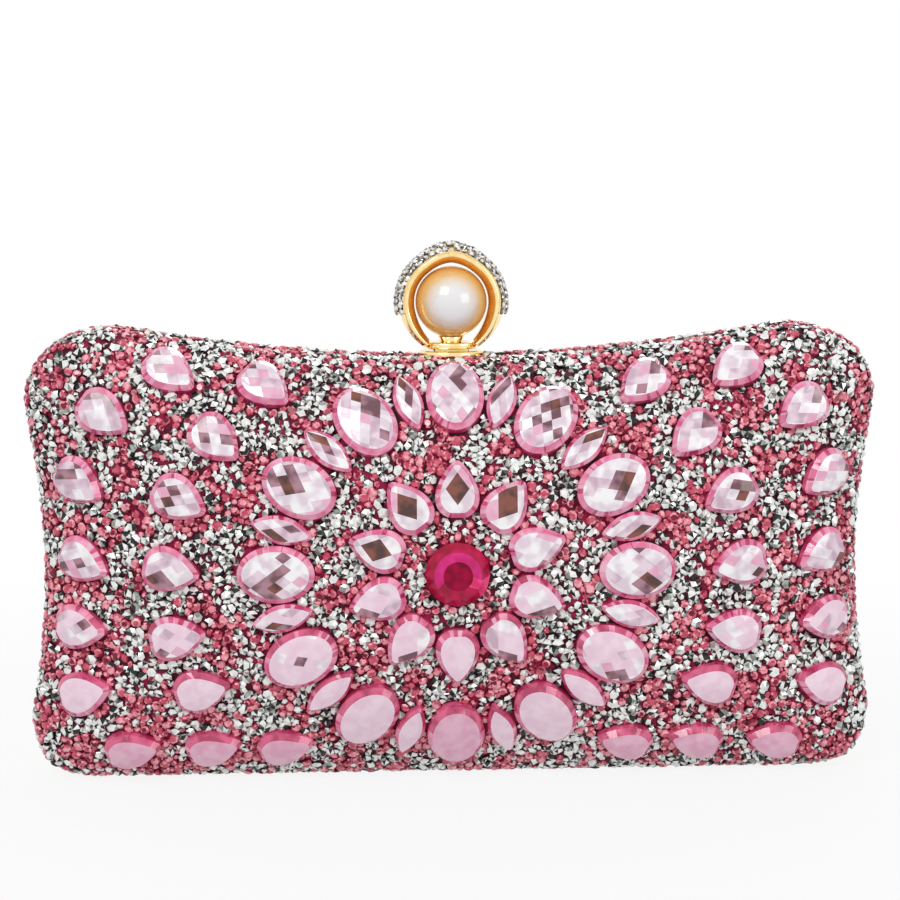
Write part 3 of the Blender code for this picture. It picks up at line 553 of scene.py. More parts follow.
def value_range(tree, value, low, high, source=NOISE_RANGE):
    """A value mapped from its source range to a range of its own."""
    inputs = {"Value": value, "From Min": source[0], "From Max": source[1], "To Min": low, "To Max": high}
    return add_node(tree, "ShaderNodeMapRange", inputs).outputs["Result"]


def add_bump(shader, value, distance, strength):
    """Fine relief from a value, with its depth in metres."""
    inputs = {"Distance": distance, "Strength": strength, "Height": value}
    bump = add_node(shader.id_data, "ShaderNodeBump", inputs)
    feed(shader, {"Normal": bump.outputs["Normal"]})


def new_material(name):
    """A node material, its node tree and its shader."""
    material = bpy.data.materials.new(name)
    material.use_nodes = True
    return material, material.node_tree, material.node_tree.nodes["Principled BSDF"]


def drifting_material(name, noise_look, stops, roughness, **levels):
    """A material whose colour and roughness drift with one noise; levels are the shader's constants."""
    material, tree, shader = new_material(name)
    drift = object_noise(tree, *noise_look)
    inputs = {level.replace("_", " "): value for level, value in levels.items()}
    inputs["Base Color"] = colour_steps(tree, drift, stops)
    inputs["Roughness"] = value_range(tree, drift, *roughness)
    feed(shader, inputs)
    return material, tree, shader


def glass(name, light, deep, roughness=0.08, metallic=0.0, scale=340.0, coat=0.5, shine=0.5):
    """Cut glass: two near colours that drift inside each facet, under a clear coat."""
    stops = list(zip(GLASS_STOPS, (deep, light)))
    polish = [roughness * share for share in GLASS_POLISH_SHARES]
    levels = {"Metallic": metallic, "Specular_IOR_Level": shine, "Coat_Weight": coat,
              "Coat_Roughness": GLASS_COAT_ROUGHNESS}
    return drifting_material(name, (scale, 1.0), stops, polish, **levels)[0]


def metal(name, light, deep, roughness, scratch_scale=SCRATCH_SCALE):
    """Plated metal with worn tone, uneven polish and fine scratches."""
    stops = list(zip(METAL_STOPS, (deep, light)))
    polish = [roughness * share for share in METAL_POLISH_SHARES]
    material, tree, shader = drifting_material(name, METAL_NOISE, stops, polish, Metallic=1.0)
    add_bump(shader, object_noise(tree, scratch_scale, 2.0), *SCRATCH_RELIEF)
    return material


def glue_material():
    """Crimson glue, pitted between the stones, darkened towards black as painted shade in the gaps between the
    stones.
    """
    # The glue's own crimson, with its darkest stops as painted shade between the stones
    stops = [(0.36, (30, 0, 12)), (0.5, (96, 8, 40)), (0.62, (160, 24, 72))]
    material, tree, shader = drifting_material("crimson_glue_and_shade", (160.0, 3.0), stops, (0.5, 0.7),
                                               Specular_IOR_Level=0.2)
    add_bump(shader, object_noise(tree, 900.0, 4.0), *GLUE_RELIEF)
    return material


def satin_material():
    """Burgundy satin: a fine weave with a soft sheen."""
    stops = [(0.35, (126, 24, 60)), (0.65, (140, 30, 70))]
    material, tree, shader = drifting_material("burgundy_satin", (60.0, 3.0), stops, (0.34, 0.42),
                                               Sheen_Weight=0.2, Sheen_Roughness=0.4)
    place = add_node(tree, "ShaderNodeTexCoord").outputs["Object"]
    thread = {"Scale": WEAVE_SCALE, "Distortion": WEAVE_BEND, "Vector": place}
    waves = [add_node(tree, "ShaderNodeTexWave", thread, bands_direction=way).outputs["Fac"] for way in "XZ"]
    weave = add_node(tree, "ShaderNodeMath", {0: waves[0], 1: waves[1]}, operation="MULTIPLY")
    add_bump(shader, weave.outputs["Value"], *WEAVE_RELIEF)
    return material


def pearl_material():
    """Nacre: white on its front and back, with a painted reflection of the gold ring, warm where it lies near
    the ring.
    """
    material, tree, shader = new_material("pearl_nacre_ring_reflection")
    place = add_node(tree, "ShaderNodeTexCoord").outputs["Object"]
    depth = add_node(tree, "ShaderNodeSeparateXYZ", {"Vector": place}).outputs["Y"]
    shift = add_node(tree, "ShaderNodeMath", {0: depth, 1: PARTING.y}, operation="SUBTRACT").outputs["Value"]
    reach = add_node(tree, "ShaderNodeMath", {0: shift}, operation="ABSOLUTE").outputs["Value"]
    share = value_range(tree, reach, 0.0, 1.0, (0.0, PEARL_RADIUS))
    drift = object_noise(tree, 500.0, 3.0)
    # Painted reflection of the gold ring: amber and gold near the ring's plane, white away from it
    stops = [(0.2, (228, 160, 76)), (0.62, (238, 190, 124)), (0.8, (238, 226, 212)), (0.92, (240, 239, 240))]
    feed(shader, {
        "Base Color": colour_steps(tree, share, stops),
        "Roughness": value_range(tree, drift, 0.14, 0.24),
        "Coat Weight": 0.7,
        "Coat Roughness": 0.08,
        "Subsurface Weight": 0.1,
        "Subsurface Radius": (0.002, 0.0015, 0.001),
    })
    add_bump(shader, drift, *NACRE_RELIEF)
    return material


gold = metal("polished_gold", (255, 235, 184), (250, 220, 152), 0.13)
dull_gold = metal("rim_gold", (246, 218, 160), (238, 204, 142), 0.2)
steel = metal("hinge_steel", (196, 196, 200), (158, 158, 164), 0.28)
shell_metal = metal("pressed_metal", (214, 190, 146), (180, 152, 108), 0.36, 1400.0)
glue = glue_material()
satin = satin_material()
nacre = pearl_material()

# Small stones: white and light tones are painted highlights and reflections, dark and deep tones are painted
# dark reflections and, on the stones' sides, painted shade
SILVER = [
    glass("silver_white_reflection", (254, 254, 253), (232, 236, 232), 0.1, 0.1, 900.0),
    glass("silver_grey", (176, 178, 172), (126, 130, 124), 0.1, 0.2, 900.0),
    glass("silver_dark_reflection", (36, 38, 36), (2, 3, 3), 0.1, 0.0, 900.0, 0.15, 0.3),
]
ROSE = [
    glass("rose_light", (250, 182, 190), (234, 132, 150), 0.14, 0.0, 900.0, 0.2),
    glass("rose_mid", (214, 90, 112), (192, 56, 90), 0.14, 0.0, 900.0, 0.15),
    glass("rose_deep", (142, 18, 54), (96, 4, 32), 0.14, 0.0, 900.0, 0.1, 0.3),
]
# Tones of the large stones: the rim's own pink, a deeper pink that is painted shade, a white painted
# highlight, pale and middle pinks, an even pale pink that is partly the stone's own and partly a painted
# reflection of the white floor, and mauve and brown painted dark reflections
GEM = [
    glass("gem_rim", (248, 166, 196), (232, 110, 156)),
    glass("gem_rim_deep_shade", (226, 94, 138), (180, 44, 92)),
    glass("gem_painted_highlight", (255, 252, 254), (230, 212, 224)),
    glass("gem_pale", (240, 218, 230), (206, 174, 192)),
    glass("gem_mid", (242, 190, 212), (234, 168, 196)),
    glass("gem_calm", (250, 222, 236), (243, 208, 226)),
    glass("gem_dark_reflection_mauve", (178, 130, 146), (110, 64, 76)),
    glass("gem_dark_reflection_brown", (134, 68, 50), (70, 26, 20)),
]
RUBY = [
    glass("ruby_crown", (200, 14, 78), (160, 2, 52), 0.2, coat=0.1, shine=0.25),
    glass("ruby_ring", (222, 44, 134), (200, 24, 106), 0.2, coat=0.1, shine=0.25),
    glass("ruby_table", (168, 4, 62), (122, 0, 38), 0.2, coat=0.0, shine=0.15),
    glass("ruby_glint", (248, 84, 142), (232, 44, 112), 0.2, coat=0.1, shine=0.25),
]
CLEAR = [
    glass("pave_white_reflection", (250, 248, 244), (226, 222, 216), 0.08, 0.2, 900.0),
    glass("pave_grey", (176, 172, 168), (134, 130, 126), 0.08, 0.3, 900.0),
    glass("pave_dark_reflection", (84, 78, 72), (40, 36, 32), 0.08, 0.0, 900.0),
]


# Large stones

def stone_outline(kind, length, width, sides):
    """Outline of a stone in its own plane, its long axis and any tip along X."""
    turns = np.array(circle(sides))
    x = length / 2 * np.cos(turns)
    y = width / 2 * np.sin(turns)
    if kind == "teardrop":
        y = y * TEARDROP_FULLNESS * np.abs(np.sin(turns / 2)) ** TEARDROP_POWER
    if kind == "navette":
        y = y * np.abs(np.sin(turns))
    if kind in ("teardrop", "navette"):
        x = np.clip(x, TIP_TRIM - length / 2, length / 2 - TIP_TRIM)
    return x, y


def seat_matrix(across, height, degrees):
    """Place on the front: local Z points out of the surface, local X along the turn."""
    def depth(x, z):
        return float(depth_at(np.float64(x), np.float64(z)))
    step = SLOPE_REACH
    slope_x = (depth(across + step, height) - depth(across - step, height)) / (2 * step)
    slope_z = (depth(across, height + step) - depth(across, height - step)) / (2 * step)
    outward = Vector((-slope_x, -1, -slope_z)).normalized()
    turn = math.radians(degrees)
    along = Vector((math.cos(turn), 0, math.sin(turn)))
    along = (along - outward * along.dot(outward)).normalized()
    rotation = Matrix((along, outward.cross(along), outward)).transposed().to_4x4()
    return Matrix.Translation((across, -depth(across, height), height)) @ rotation


def ring_place(degrees, middle, half_shares):
    """Place on a ring of stones about the given height, and the direction to it from the ring's middle."""
    turn = math.radians(degrees)
    across = half_shares[0] * BODY_WIDTH * math.cos(turn)
    rise = half_shares[1] * BODY_HEIGHT * math.sin(turn)
    return across, middle + rise, math.degrees(math.atan2(rise, across))


def large_stones():
    """Every large stone: node or group name, kind, length, width, height, and its seat."""
    rosette = ROSETTE_SHARE * BODY_HEIGHT
    middle = OVAL_RING_SHARE * BODY_HEIGHT
    stones = [("centre_stone", "round", (ROUND_SHARE, ROUND_SHARE), CENTRE_HEIGHT, (0.0, rosette, 0))]
    inner = (PETAL_COUNT, rosette, PETAL_RING_HALF_SHARES)
    outer = (OVAL_COUNT, middle, OVAL_RING_HALF_SHARES)
    rings = (
        ("petal_stone", "teardrop", PETAL_SHARES, STONE_HEIGHT, 0, *inner),
        ("oval_stone", "oval", OVAL_SHARES, STONE_HEIGHT, 0, *outer),
        ("navette", "navette", NAVETTE_SHARES, NAVETTE_HEIGHT, BETWEEN_SHARE, *outer),
    )
    for name, kind, shares, height, ahead, count, centre, halves in rings:
        for number in range(count):
            place = ring_place(UPWARD + FULL_TURN * (number + ahead) / count, centre, halves)
            stones.append((f"{name}_{number + 1:02d}", kind, shares, height, place))
    for number, (width_share, height_share, degrees) in enumerate(DROP_PLACE_SHARES):
        for side, turn in ((-1, degrees), (1, HALF_TURN - degrees)):
            place = (side * width_share * HALF_WIDTH, height_share * BODY_HEIGHT, turn)
            hand = "left" if side < 0 else "right"
            stones.append((f"drop_{hand}_{number + 1:02d}", "teardrop", DROP_SIZE_SHARES, STONE_HEIGHT, place))
    return [(name, kind, long_share * BODY_HEIGHT, wide_share * BODY_HEIGHT, height, place)
            for name, kind, (long_share, wide_share), height, place in stones]


def colour_dome(dome, look, place, calm_tone, reflection_share, rng):
    """Tones of the dome's facets, painted light: lively high on the box, with white painted highlights and
    pale, middle and mauve painted reflections; calm low on it, an even pale tone that is partly the stone's
    pink and partly a painted reflection of the white floor; and painted dark reflections round a spot.

    The spot wanders from a stone's lower end to its upper end with the stone's height on the box.
    """
    for face in dome:
        reflection_tone = int(rng.choice(FACET_TONES, p=REFLECTION_WEIGHTS[look]))
        face.material_index = reflection_tone if rng.random() < reflection_share else calm_tone
    least, most = DARK_CELLS[look]
    count = int(rng.integers(least, most + 1))
    if rng.random() > reflection_share:
        return
    across, height, degrees = place
    rise = height - DARK_LEVEL_SHARE * BODY_HEIGHT
    shift = Vector((across * DARK_ASIDE_SHARE, rise * DARK_RISE_SHARE))
    spot = Matrix.Rotation(-math.radians(degrees), 2) @ shift + Vector(rng.normal(0, DARK_DRIFT, 2))

    def distance(face):
        centre = face.calc_center_median()
        return math.hypot((centre.x - spot.x) * DARK_LENGTH_SHARES[look], centre.y - spot.y)

    count = math.ceil(count * max(0.0, 1 - abs(rise) / DARK_FADE))
    whole = [face for face in dome if face.calc_area() > DARK_AREA]
    near = sorted((face for face in whole if distance(face) < DARK_REACH[look]), key=distance)
    brown_chance = BROWN_CHANCE[look] * max(0.0, 1 - abs(rise) / BROWN_FADE)
    # The facets nearest the spot become painted dark reflections, the first ones brown by chance
    for number, face in enumerate(near[:count]):
        brown = number < BROWN_MOST and rng.random() < brown_chance
        face.material_index = BROWN_TONE if brown else MAUVE_TONE


def add_skirt(bm, loop, shrink, half_y, turn, reflection_share, rng):
    """The rim band and the seat under a dome, down from the loop of its edge, and the closed back; the seat
    and the upward rim facets of low stones take a deeper pink as painted shade.
    """
    # The seat band takes the deeper pink as a painted shadow round the stone's base
    for level, slot in ((GIRDLE_HEIGHT, RIM_TONE), (-STONE_SEAT, DEEP_SHADE_TONE)):
        grow_x, grow_y = (1 / shrink[0], 1 / shrink[1]) if slot == RIM_TONE else (1, 1)
        lower = [bm.verts.new((vert.co.x * grow_x, vert.co.y * grow_y, level)) for vert in loop]
        for index, vert in enumerate(loop):
            face = bm.faces.new((loop[index - 1], vert, lower[index], lower[index - 1]))
            middle = face.calc_center_median()
            upward = (middle.x * math.sin(turn) + middle.y * math.cos(turn)) / half_y
            # Painted shade: on stones with few painted reflections the upward rim facets turn deeper pink
            shaded = upward > RIM_SHADE_LOW and rng.random() > reflection_share
            face.material_index = slot
            if slot == RIM_TONE and (shaded or rng.random() < RIM_DEEP_CHANCE):
                face.material_index = DEEP_SHADE_TONE
            elif slot == RIM_TONE and rng.random() < RIM_PALE_CHANCE:
                face.material_index = MIDDLE_TONE
        loop = lower
    bm.faces.new(loop).material_index = DEEP_SHADE_TONE


def cut_stone(name, kind, length, width, height, place, rng):
    """A stone with a chequered dome of flat diamond facets, a steep rim band and a closed back."""
    half_x = length / 2
    half_y = width / 2
    x, y = stone_outline(kind, length, width, DOME_SIDES)
    look = "petal" if name.startswith("petal") else kind
    shrink_x = (half_x - RIM_WIDTHS[look]) / half_x
    shrink_y = (half_y - RIM_WIDTHS[look]) / half_y
    bm = bmesh.new()
    corners = [bm.verts.new((px * shrink_x, py * shrink_y, 0)) for px, py in zip(x, y)]
    bm.faces.new(corners)
    step = LATTICE[look]
    for sign in (-1, 1):
        normal = Vector((1 / half_x, sign / half_y, 0))
        for number in range(-LATTICE_LINES, LATTICE_LINES):
            point = Vector(((number + LATTICE_LEAD) * step * half_x, 0, 0))
            geometry = bm.verts[:] + bm.edges[:] + bm.faces[:]
            bmesh.ops.bisect_plane(bm, geom=geometry, dist=LATTICE_SNAP, plane_co=point, plane_no=normal)
    base = GIRDLE_HEIGHT + (height - GIRDLE_HEIGHT) * DOME_BASE_SHARE
    edge_share = shrink_x ** 2
    for vert in bm.verts:
        out = (vert.co.x / half_x) ** 2 + (vert.co.y / half_y) ** 2
        vert.co.z = height - (height - base) * min(1.0, out / edge_share)
    # Painted reflections grow with the stone's height on the box; low stones take the even pale tone, the
    # lowest ones a middle pink
    reflection_share = min(1.0, max(0.0, (place[1] / BODY_HEIGHT - REFLECTION_LOW_SHARE) / REFLECTION_RISE_SHARE))
    calm_tone = MIDDLE_TONE if place[1] < PINK_BELOW_SHARE * BODY_HEIGHT else CALM_TONE
    colour_dome(list(bm.faces), look, place, calm_tone, reflection_share, rng)
    loop = sorted((vert for vert in bm.verts if vert.is_boundary), key=lambda v: math.atan2(v.co.y, v.co.x))
    add_skirt(bm, loop, (shrink_x, shrink_y), half_y, math.radians(place[2]), reflection_share, rng)
    return finish_stone(name, bm, place, GEM)


def finish_stone(name, bm, place, materials):
    """Turn the faces outward, put the stone on its seat and make it an object."""
    bmesh.ops.recalc_face_normals(bm, faces=bm.faces)
    bmesh.ops.transform(bm, matrix=Matrix.Translation(PARTING) @ seat_matrix(*place), verts=bm.verts)
    mesh = bpy.data.meshes.new(name)
    bm.to_mesh(mesh)
    bm.free()
    return link_object(name, mesh, materials)


def ruby_stone(name, size, height, place):
    """The round centre stone: triangular crown facets, a bright ring and a dark table that are painted light
    from inside the stone, a painted glint at the lower right and painted shade on the ring's lower facets.
    """
    bm = bmesh.new()
    rings = []
    for out_share, up_share, ahead, _ in RUBY_ROWS:
        turns = circle(RUBY_SIDES, ahead)
        level = height * up_share
        reach = size / 2 * out_share
        rings.append([bm.verts.new((reach * math.cos(t), reach * math.sin(t), level)) for t in turns])
    bm.faces.new(rings[0])
    bm.faces.new(rings[-1]).material_index = RUBY_ROWS[-1][3]
    for row in range(len(rings) - 1):
        lower, upper = rings[row], rings[row + 1]
        lead = RUBY_ROWS[row + 1][2] > RUBY_ROWS[row][2]
        for step in range(RUBY_SIDES):
            after = (step + 1) % RUBY_SIDES
            a, b, c, d = lower[step], lower[after], upper[after], upper[step]
            if row == 0:
                sides = [(a, b, c, d)]
            elif lead:
                sides = [(a, b, d), (b, c, d)]
            else:
                sides = [(a, c, d), (a, b, c)]
            for side in sides:
                face = bm.faces.new(side)
                face.material_index = RUBY_ROWS[row][3]
                middle = face.calc_center_median()
                turn = math.atan2(middle.y, middle.x)
                # Painted shade: the ring's lower facets take the crown's darker tone
                if row == 2 and middle.y < -RUBY_SHADE_SHARE * size / 2:
                    face.material_index = RUBY_CROWN_TONE
                # Painted glint at the lower right
                if row > 0 and abs(turn - RUBY_GLINT_TURN) < RUBY_GLINT_SPREAD:
                    face.material_index = RUBY_GLINT_TONE
    return finish_stone(name, bm, place, RUBY)


# Small stones

def stone_template(rings, apex):
    """Unit points and triangles of a small stone; rings are (sides, radius, height), apex closes the top.

    Each facet has a group of its own for its tone; the groups of the edge band, whose tones lean dark as
    painted shade on the stone's sides, start at their own fixed number.
    """
    sides = rings[0][0]
    points = []
    for _, radius, height in rings:
        turns = np.array(circle(sides))
        points.extend(zip(radius * np.cos(turns), radius * np.sin(turns), np.full(sides, height)))
    faces = [(0, step + 1, step) for step in range(1, sides - 1)]
    groups = [SHADED_SIDE_GROUP] * (sides - 2)
    for row in range(len(rings) - 1):
        for step in range(sides):
            after = (step + 1) % sides
            low = row * sides
            high = low + sides
            faces.append((low + step, low + after, high + after))
            faces.append((low + step, high + after, high + step))
            group = SHADED_SIDE_GROUP + step if row < 2 else step
            groups.extend((group, group))
    points.append((0.0, 0.0, apex))
    top = len(points) - 1
    last = (len(rings) - 1) * sides
    faces.extend(fan(last, top, sides))
    groups.extend(step if apex > rings[-1][2] else sides for step in range(sides))
    return np.array(points), np.array(faces), np.array(groups)


def surface_samples(side, count, rng):
    """Random points on the outside of a half, and the outward directions there."""
    rows, middle = skin_rows(GLUE_LAYER, side, even_turns(SKIN_COLUMNS))
    points = np.concatenate(rows + [middle])
    quads, cap = (np.array(group) for group in skin_faces(len(rows)))
    triangles = np.concatenate((quads[:, [0, 1, 2]], quads[:, [0, 2, 3]], cap))
    a, b, c = (points[triangles[:, corner]] for corner in range(3))
    cross = np.cross(b - a, c - a)
    area = np.linalg.norm(cross, axis=1)
    flip = np.sign(cross[:, 1:2] * side + TINY)
    outward = a - np.array([0, 0, HALF_HEIGHT])
    wall = np.abs(cross[:, 1]) < WALL_SHARE * area
    flip[wall] = np.sign(np.sum(cross * outward, axis=1, keepdims=True))[wall]
    normals = cross * flip / area[:, None]
    chosen = rng.choice(len(triangles), count, p=area / area.sum())
    first = np.sqrt(rng.random(count))[:, None]
    second = rng.random(count)[:, None]
    spots = a[chosen] * (1 - first) + b[chosen] * first * (1 - second) + c[chosen] * first * second
    return spots, normals[chosen]


def clear_of_large(spots, side, seats):
    """Which places lie outside the large stones and the clasp's collar."""
    keep = np.ones(len(spots), dtype=bool)
    near_top = spots[:, 2] > TOP_MIDDLE - COLLAR_THICK
    reach = (spots[:, 0] / (COLLAR_HALF_WIDTH + STONE_MARGIN)) ** 2
    reach += (spots[:, 1] / (COLLAR_HALF_DEPTH + STONE_MARGIN)) ** 2
    keep &= ~(near_top & (reach < 1))
    if side > 0:
        return keep
    for kind, length, width, place in seats:
        inverse = np.array(seat_matrix(*place).inverted())
        local = spots @ inverse[:3, :3].T + inverse[:3, 3]
        x, y = stone_outline(kind, length, width, FINE_SIDES)
        turns = np.arctan2(y, x)
        order = np.argsort(turns)
        radius = np.interp(np.arctan2(local[:, 1], local[:, 0]), turns[order], np.hypot(x, y)[order],
                           period=2 * math.pi)
        keep &= (np.hypot(local[:, 0], local[:, 1]) > radius + STONE_MARGIN) | (np.abs(local[:, 2]) > length)
    return keep


def spread(spots, distance, taken=()):
    """Indices of places kept so that no two lie closer than a distance, nor any near the places taken."""
    grid = {}
    limit = distance ** 2
    around = [(i, j, k) for i in (-1, 0, 1) for j in (-1, 0, 1) for k in (-1, 0, 1)]

    def cell_of(x, y, z):
        return math.floor(x / distance), math.floor(y / distance), math.floor(z / distance)

    for point in taken:
        grid.setdefault(cell_of(*point), []).append(point)
    kept = []
    for index, (x, y, z) in enumerate(spots.tolist()):
        cx, cy, cz = cell_of(x, y, z)
        near = (other for i, j, k in around for other in grid.get((cx + i, cy + j, cz + k), ()))
        if all((x - other[0]) ** 2 + (y - other[1]) ** 2 + (z - other[2]) ** 2 >= limit for other in near):
            grid.setdefault((cx, cy, cz), []).append((x, y, z))
            kept.append(index)
    return kept


def set_stones(name, spots, normals, kind, shares, rng):
    """Many small stones of one kind as one mesh, each turned, tipped and toned by chance; light tones are
    painted highlights, dark ones painted dark reflections, and the sides lean dark as painted shade.
    """
    look = SMALL_STONES[kind]
    points, faces, groups = look["template"]
    radius = look["radius"] * shares
    wobble = look["wobble"]
    tones = look["tones"]
    count = len(spots)
    out = normals + rng.normal(0, look["tilt"], (count, 3)) * TILT_SHARE
    out /= np.linalg.norm(out, axis=1, keepdims=True)
    helper = np.where(np.abs(out[:, 2:3]) < UPRIGHT_SHARE, np.array([[0, 0, 1.0]]), np.array([[1.0, 0, 0]]))
    along = np.cross(helper, out)
    along /= np.linalg.norm(along, axis=1, keepdims=True)
    aside = np.cross(out, along)
    spin = rng.random(count) * 2 * math.pi
    first = along * np.cos(spin)[:, None] + aside * np.sin(spin)[:, None]
    second = np.cross(out, first)
    shape = np.repeat(points[None], count, axis=0)
    shape[:, -1, :2] += rng.uniform(-wobble, wobble, (count, 2))
    sizes = radius * rng.uniform(*SIZE_SPREAD, count)
    stretch = rng.uniform(*STRETCH_SPREAD, count)
    shape[:, :, 0] *= (sizes * stretch)[:, None]
    shape[:, :, 1] *= (sizes / stretch)[:, None]
    shape[:, :, 2] *= (radius * rng.uniform(*HEIGHT_SPREAD, count))[:, None]
    placed = (spots[:, None, :] + shape[:, :, 0:1] * first[:, None] + shape[:, :, 1:2] * second[:, None]
              + shape[:, :, 2:3] * out[:, None])
    placed[:, :, 2] = np.maximum(placed[:, :, 2], FLOOR_CLEARANCE)
    all_faces = (faces[None] + (np.arange(count) * len(points))[:, None, None]).reshape(-1, 3)
    picks = rng.choice(len(tones), (count, groups.max() + 1), p=look["weights"])
    # Painted shade: the sides of each stone draw mostly dark tones
    edges = rng.choice(len(tones), picks.shape, p=look["shaded_side_weights"])
    picks[:, SHADED_SIDE_GROUP:] = edges[:, SHADED_SIDE_GROUP:]
    slots = picks[:, groups].reshape(-1)
    return add_mesh(name, placed.reshape(-1, 3), all_faces.tolist(), tones, slots.astype(np.int32))


# Looks of the small stones; the weights for the sides lean dark as painted shade
SMALL_STONES = {
    "silver": {
        "template": stone_template([(6, 0.8, -0.3), (6, 1.0, 0.1), (6, 0.9, 0.32)], 0.76),
        "radius": SILVER_RADIUS,
        "tones": SILVER,
        "weights": (0.58, 0.18, 0.24),
        "shaded_side_weights": (0.2, 0.2, 0.6),
        "tilt": 0.28,
        "wobble": 0.3,
    },
    "rose": {
        "template": stone_template([(8, 0.8, -0.3), (8, 1.0, 0.12), (8, 0.84, 0.42), (8, 0.5, 0.66)], 0.66),
        "radius": ROSE_RADIUS,
        "tones": ROSE,
        "weights": (0.4, 0.42, 0.18),
        "shaded_side_weights": (0.14, 0.38, 0.48),
        "tilt": 0.2,
        "wobble": 0.1,
    },
    "pave": {
        "template": stone_template([(8, 0.8, -0.3), (8, 1.0, 0.12), (8, 0.86, 0.34), (8, 0.5, 0.6)], 0.6),
        "radius": PAVE_RADIUS,
        "tones": CLEAR,
        "weights": (0.56, 0.3, 0.14),
        "shaded_side_weights": (0.2, 0.35, 0.45),
        "tilt": 0.08,
        "wobble": 0.05,
    },
}


def crust_half(side, half, seats):
    """Glue skin and small stones of one half."""
    rng = np.random.default_rng(CRUST_SEEDS[half])
    skin = skin_solid(f"{half}_glue_skin", side, (GLUE_LAYER, CRUST_THICK), glue)
    declare(skin, f"{half}_half", "crystal_crust", f"{half}_crystal_crust")
    spots, normals = surface_samples(side, TRIES, rng)
    keep = clear_of_large(spots, side, seats)
    spots, normals = spots[keep], normals[keep]
    first = spread(spots, STONE_SPACING)
    filler = spread(spots, FILLER_SPACING, spots[first].tolist())
    kept = first + filler
    shares = np.concatenate((np.ones(len(first)), np.full(len(filler), FILLER_SHARE)))
    spots, normals = spots[kept], normals[kept]
    patches = np.array([noise.noise(Vector(spot) * PATCH_SCALE) for spot in spots])
    silver = rng.random(len(spots)) < SILVER_SHARE + patches * PATCH_STRENGTH
    for kind, slot, chosen in (("silver", "clear_crystal", silver), ("rose", "crystal_crust", ~silver)):
        name = f"{half}_{kind}_stones"
        made = set_stones(name, spots[chosen], normals[chosen], kind, shares[chosen], rng)
        declare(made, f"{half}_half", slot)


def place_large_stones(stones):
    """Cut every large stone and put it on its seat."""
    rng = np.random.default_rng(GEM_SEED)
    for name, kind, length, width, height, place in stones:
        own = name.startswith(("centre", "petal", "oval"))
        piece_name = f"{name}_cut" if own else f"{name}_stone"
        if kind == "round":
            piece = ruby_stone(piece_name, length, height, place)
        else:
            piece = cut_stone(piece_name, kind, length, width, height, place, rng)
        nodes = [name] if own else []
        declare(piece, "front_half", "ruby_glass" if kind == "round" else "pink_glass", *nodes)


stones = large_stones()
place_large_stones(stones)
seats = [(kind, length, width, place) for _, kind, length, width, _, place in stones]
crust_half(1, "rear", seats)
crust_half(-1, "front", seats)


# Clasp

def ring_point(radius, depth, degrees):
    """A point of the ring's section round the pearl: a soft point at the top, slim legs at the foot."""
    turn = math.radians(degrees)
    away = abs(degrees - RING_TOP)
    outer_share = min(1, (radius - RING_INNER_RADIUS) / (RING_CREST_RADIUS - RING_INNER_RADIUS))
    point_share = max(0, 1 - away / RING_POINT_SPREAD)
    rise_share = RING_ARCH_SHARE + (1 - RING_ARCH_SHARE) * outer_share
    leg_share = max(0, (away - RING_LEG_SPREAD) / (RING_TOP - RING_START - RING_LEG_SPREAD))
    reach = radius + RING_POINT_RISE * point_share * rise_share
    reach += RING_LEG_RISE * leg_share ** 2 * (1 - outer_share)
    return (reach * math.cos(turn), depth, PEARL_HEIGHT + reach * math.sin(turn))


def round_corners(section, radius):
    """The same closed outline with its corners rounded."""
    rounded = []
    count = len(section)
    for index, corner in enumerate(section):
        here = Vector(corner)
        before = Vector(section[index - 1]) - here
        after = Vector(section[(index + 1) % count]) - here
        cut = min(radius, before.length * CORNER_SHARE, after.length * CORNER_SHARE)
        start = here + before.normalized() * cut
        end = here + after.normalized() * cut
        for step in range(CORNER_STEPS + 1):
            share = step / CORNER_STEPS
            point = start.lerp(here, share).lerp(here.lerp(end, share), share)
            rounded.append((point.x, point.y))
    return rounded


def loft(name, loops, material):
    """A closed body through loops of equal length, with flat ends."""
    count = len(loops[0])
    points = [point for loop in loops for point in loop]
    faces = row_faces(len(loops), count)
    faces.append(tuple(range(count)))
    faces.append(tuple(range(len(points) - count, len(points))))
    return add_mesh(name, points, faces, [material], rounded=True)


def sharpen(obj):
    """Keep the edges sharp where the faces turn by more than a bevel's step."""
    obj.data.set_sharp_from_angle(angle=math.radians(SHARP_TURN))


def sweep(name, section, start, end, material, shape=None):
    """A closed body swept round the pearl from one direction to another."""
    loops = []
    for step in range(BAND_STEPS + 1):
        degrees = start + (end - start) * (step / BAND_STEPS)
        loop = [shape(*corner, degrees) for corner in section] if shape else section
        loops.append([ring_point(radius, depth, degrees) for radius, depth in loop])
    obj = loft(name, loops, material)
    sharpen(obj)
    return obj


def outer_section(edge, crest):
    """The outer side of the ring's section, from front to rear."""
    return [(edge, -RING_HALF_DEPTH), (crest, -RING_CREST_HALF_DEPTH), (crest, RING_CREST_HALF_DEPTH),
            (edge, RING_HALF_DEPTH)]


def ellipse_loop(half_x, half_y, height, sides):
    """A level ellipse about the upright axis."""
    return [(half_x * math.cos(turn), half_y * math.sin(turn), height) for turn in circle(sides)]


def oval_plate(name, half_x, half_y, bottom, top, bevel, material):
    """An oval plate with rounded edges."""
    loops = []
    for edge, direction in ((bottom, 1), (top, -1)):
        part = []
        for step in range(BEVEL_STEPS + 1):
            turn = math.pi / 2 * step / BEVEL_STEPS
            inward = bevel * (1 - math.sin(turn))
            level = edge + direction * bevel * (1 - math.cos(turn))
            part.append(ellipse_loop(half_x - inward, half_y - inward, level, PLATE_SIDES))
        loops.extend(part if direction > 0 else part[::-1])
    return loft(name, loops, material)


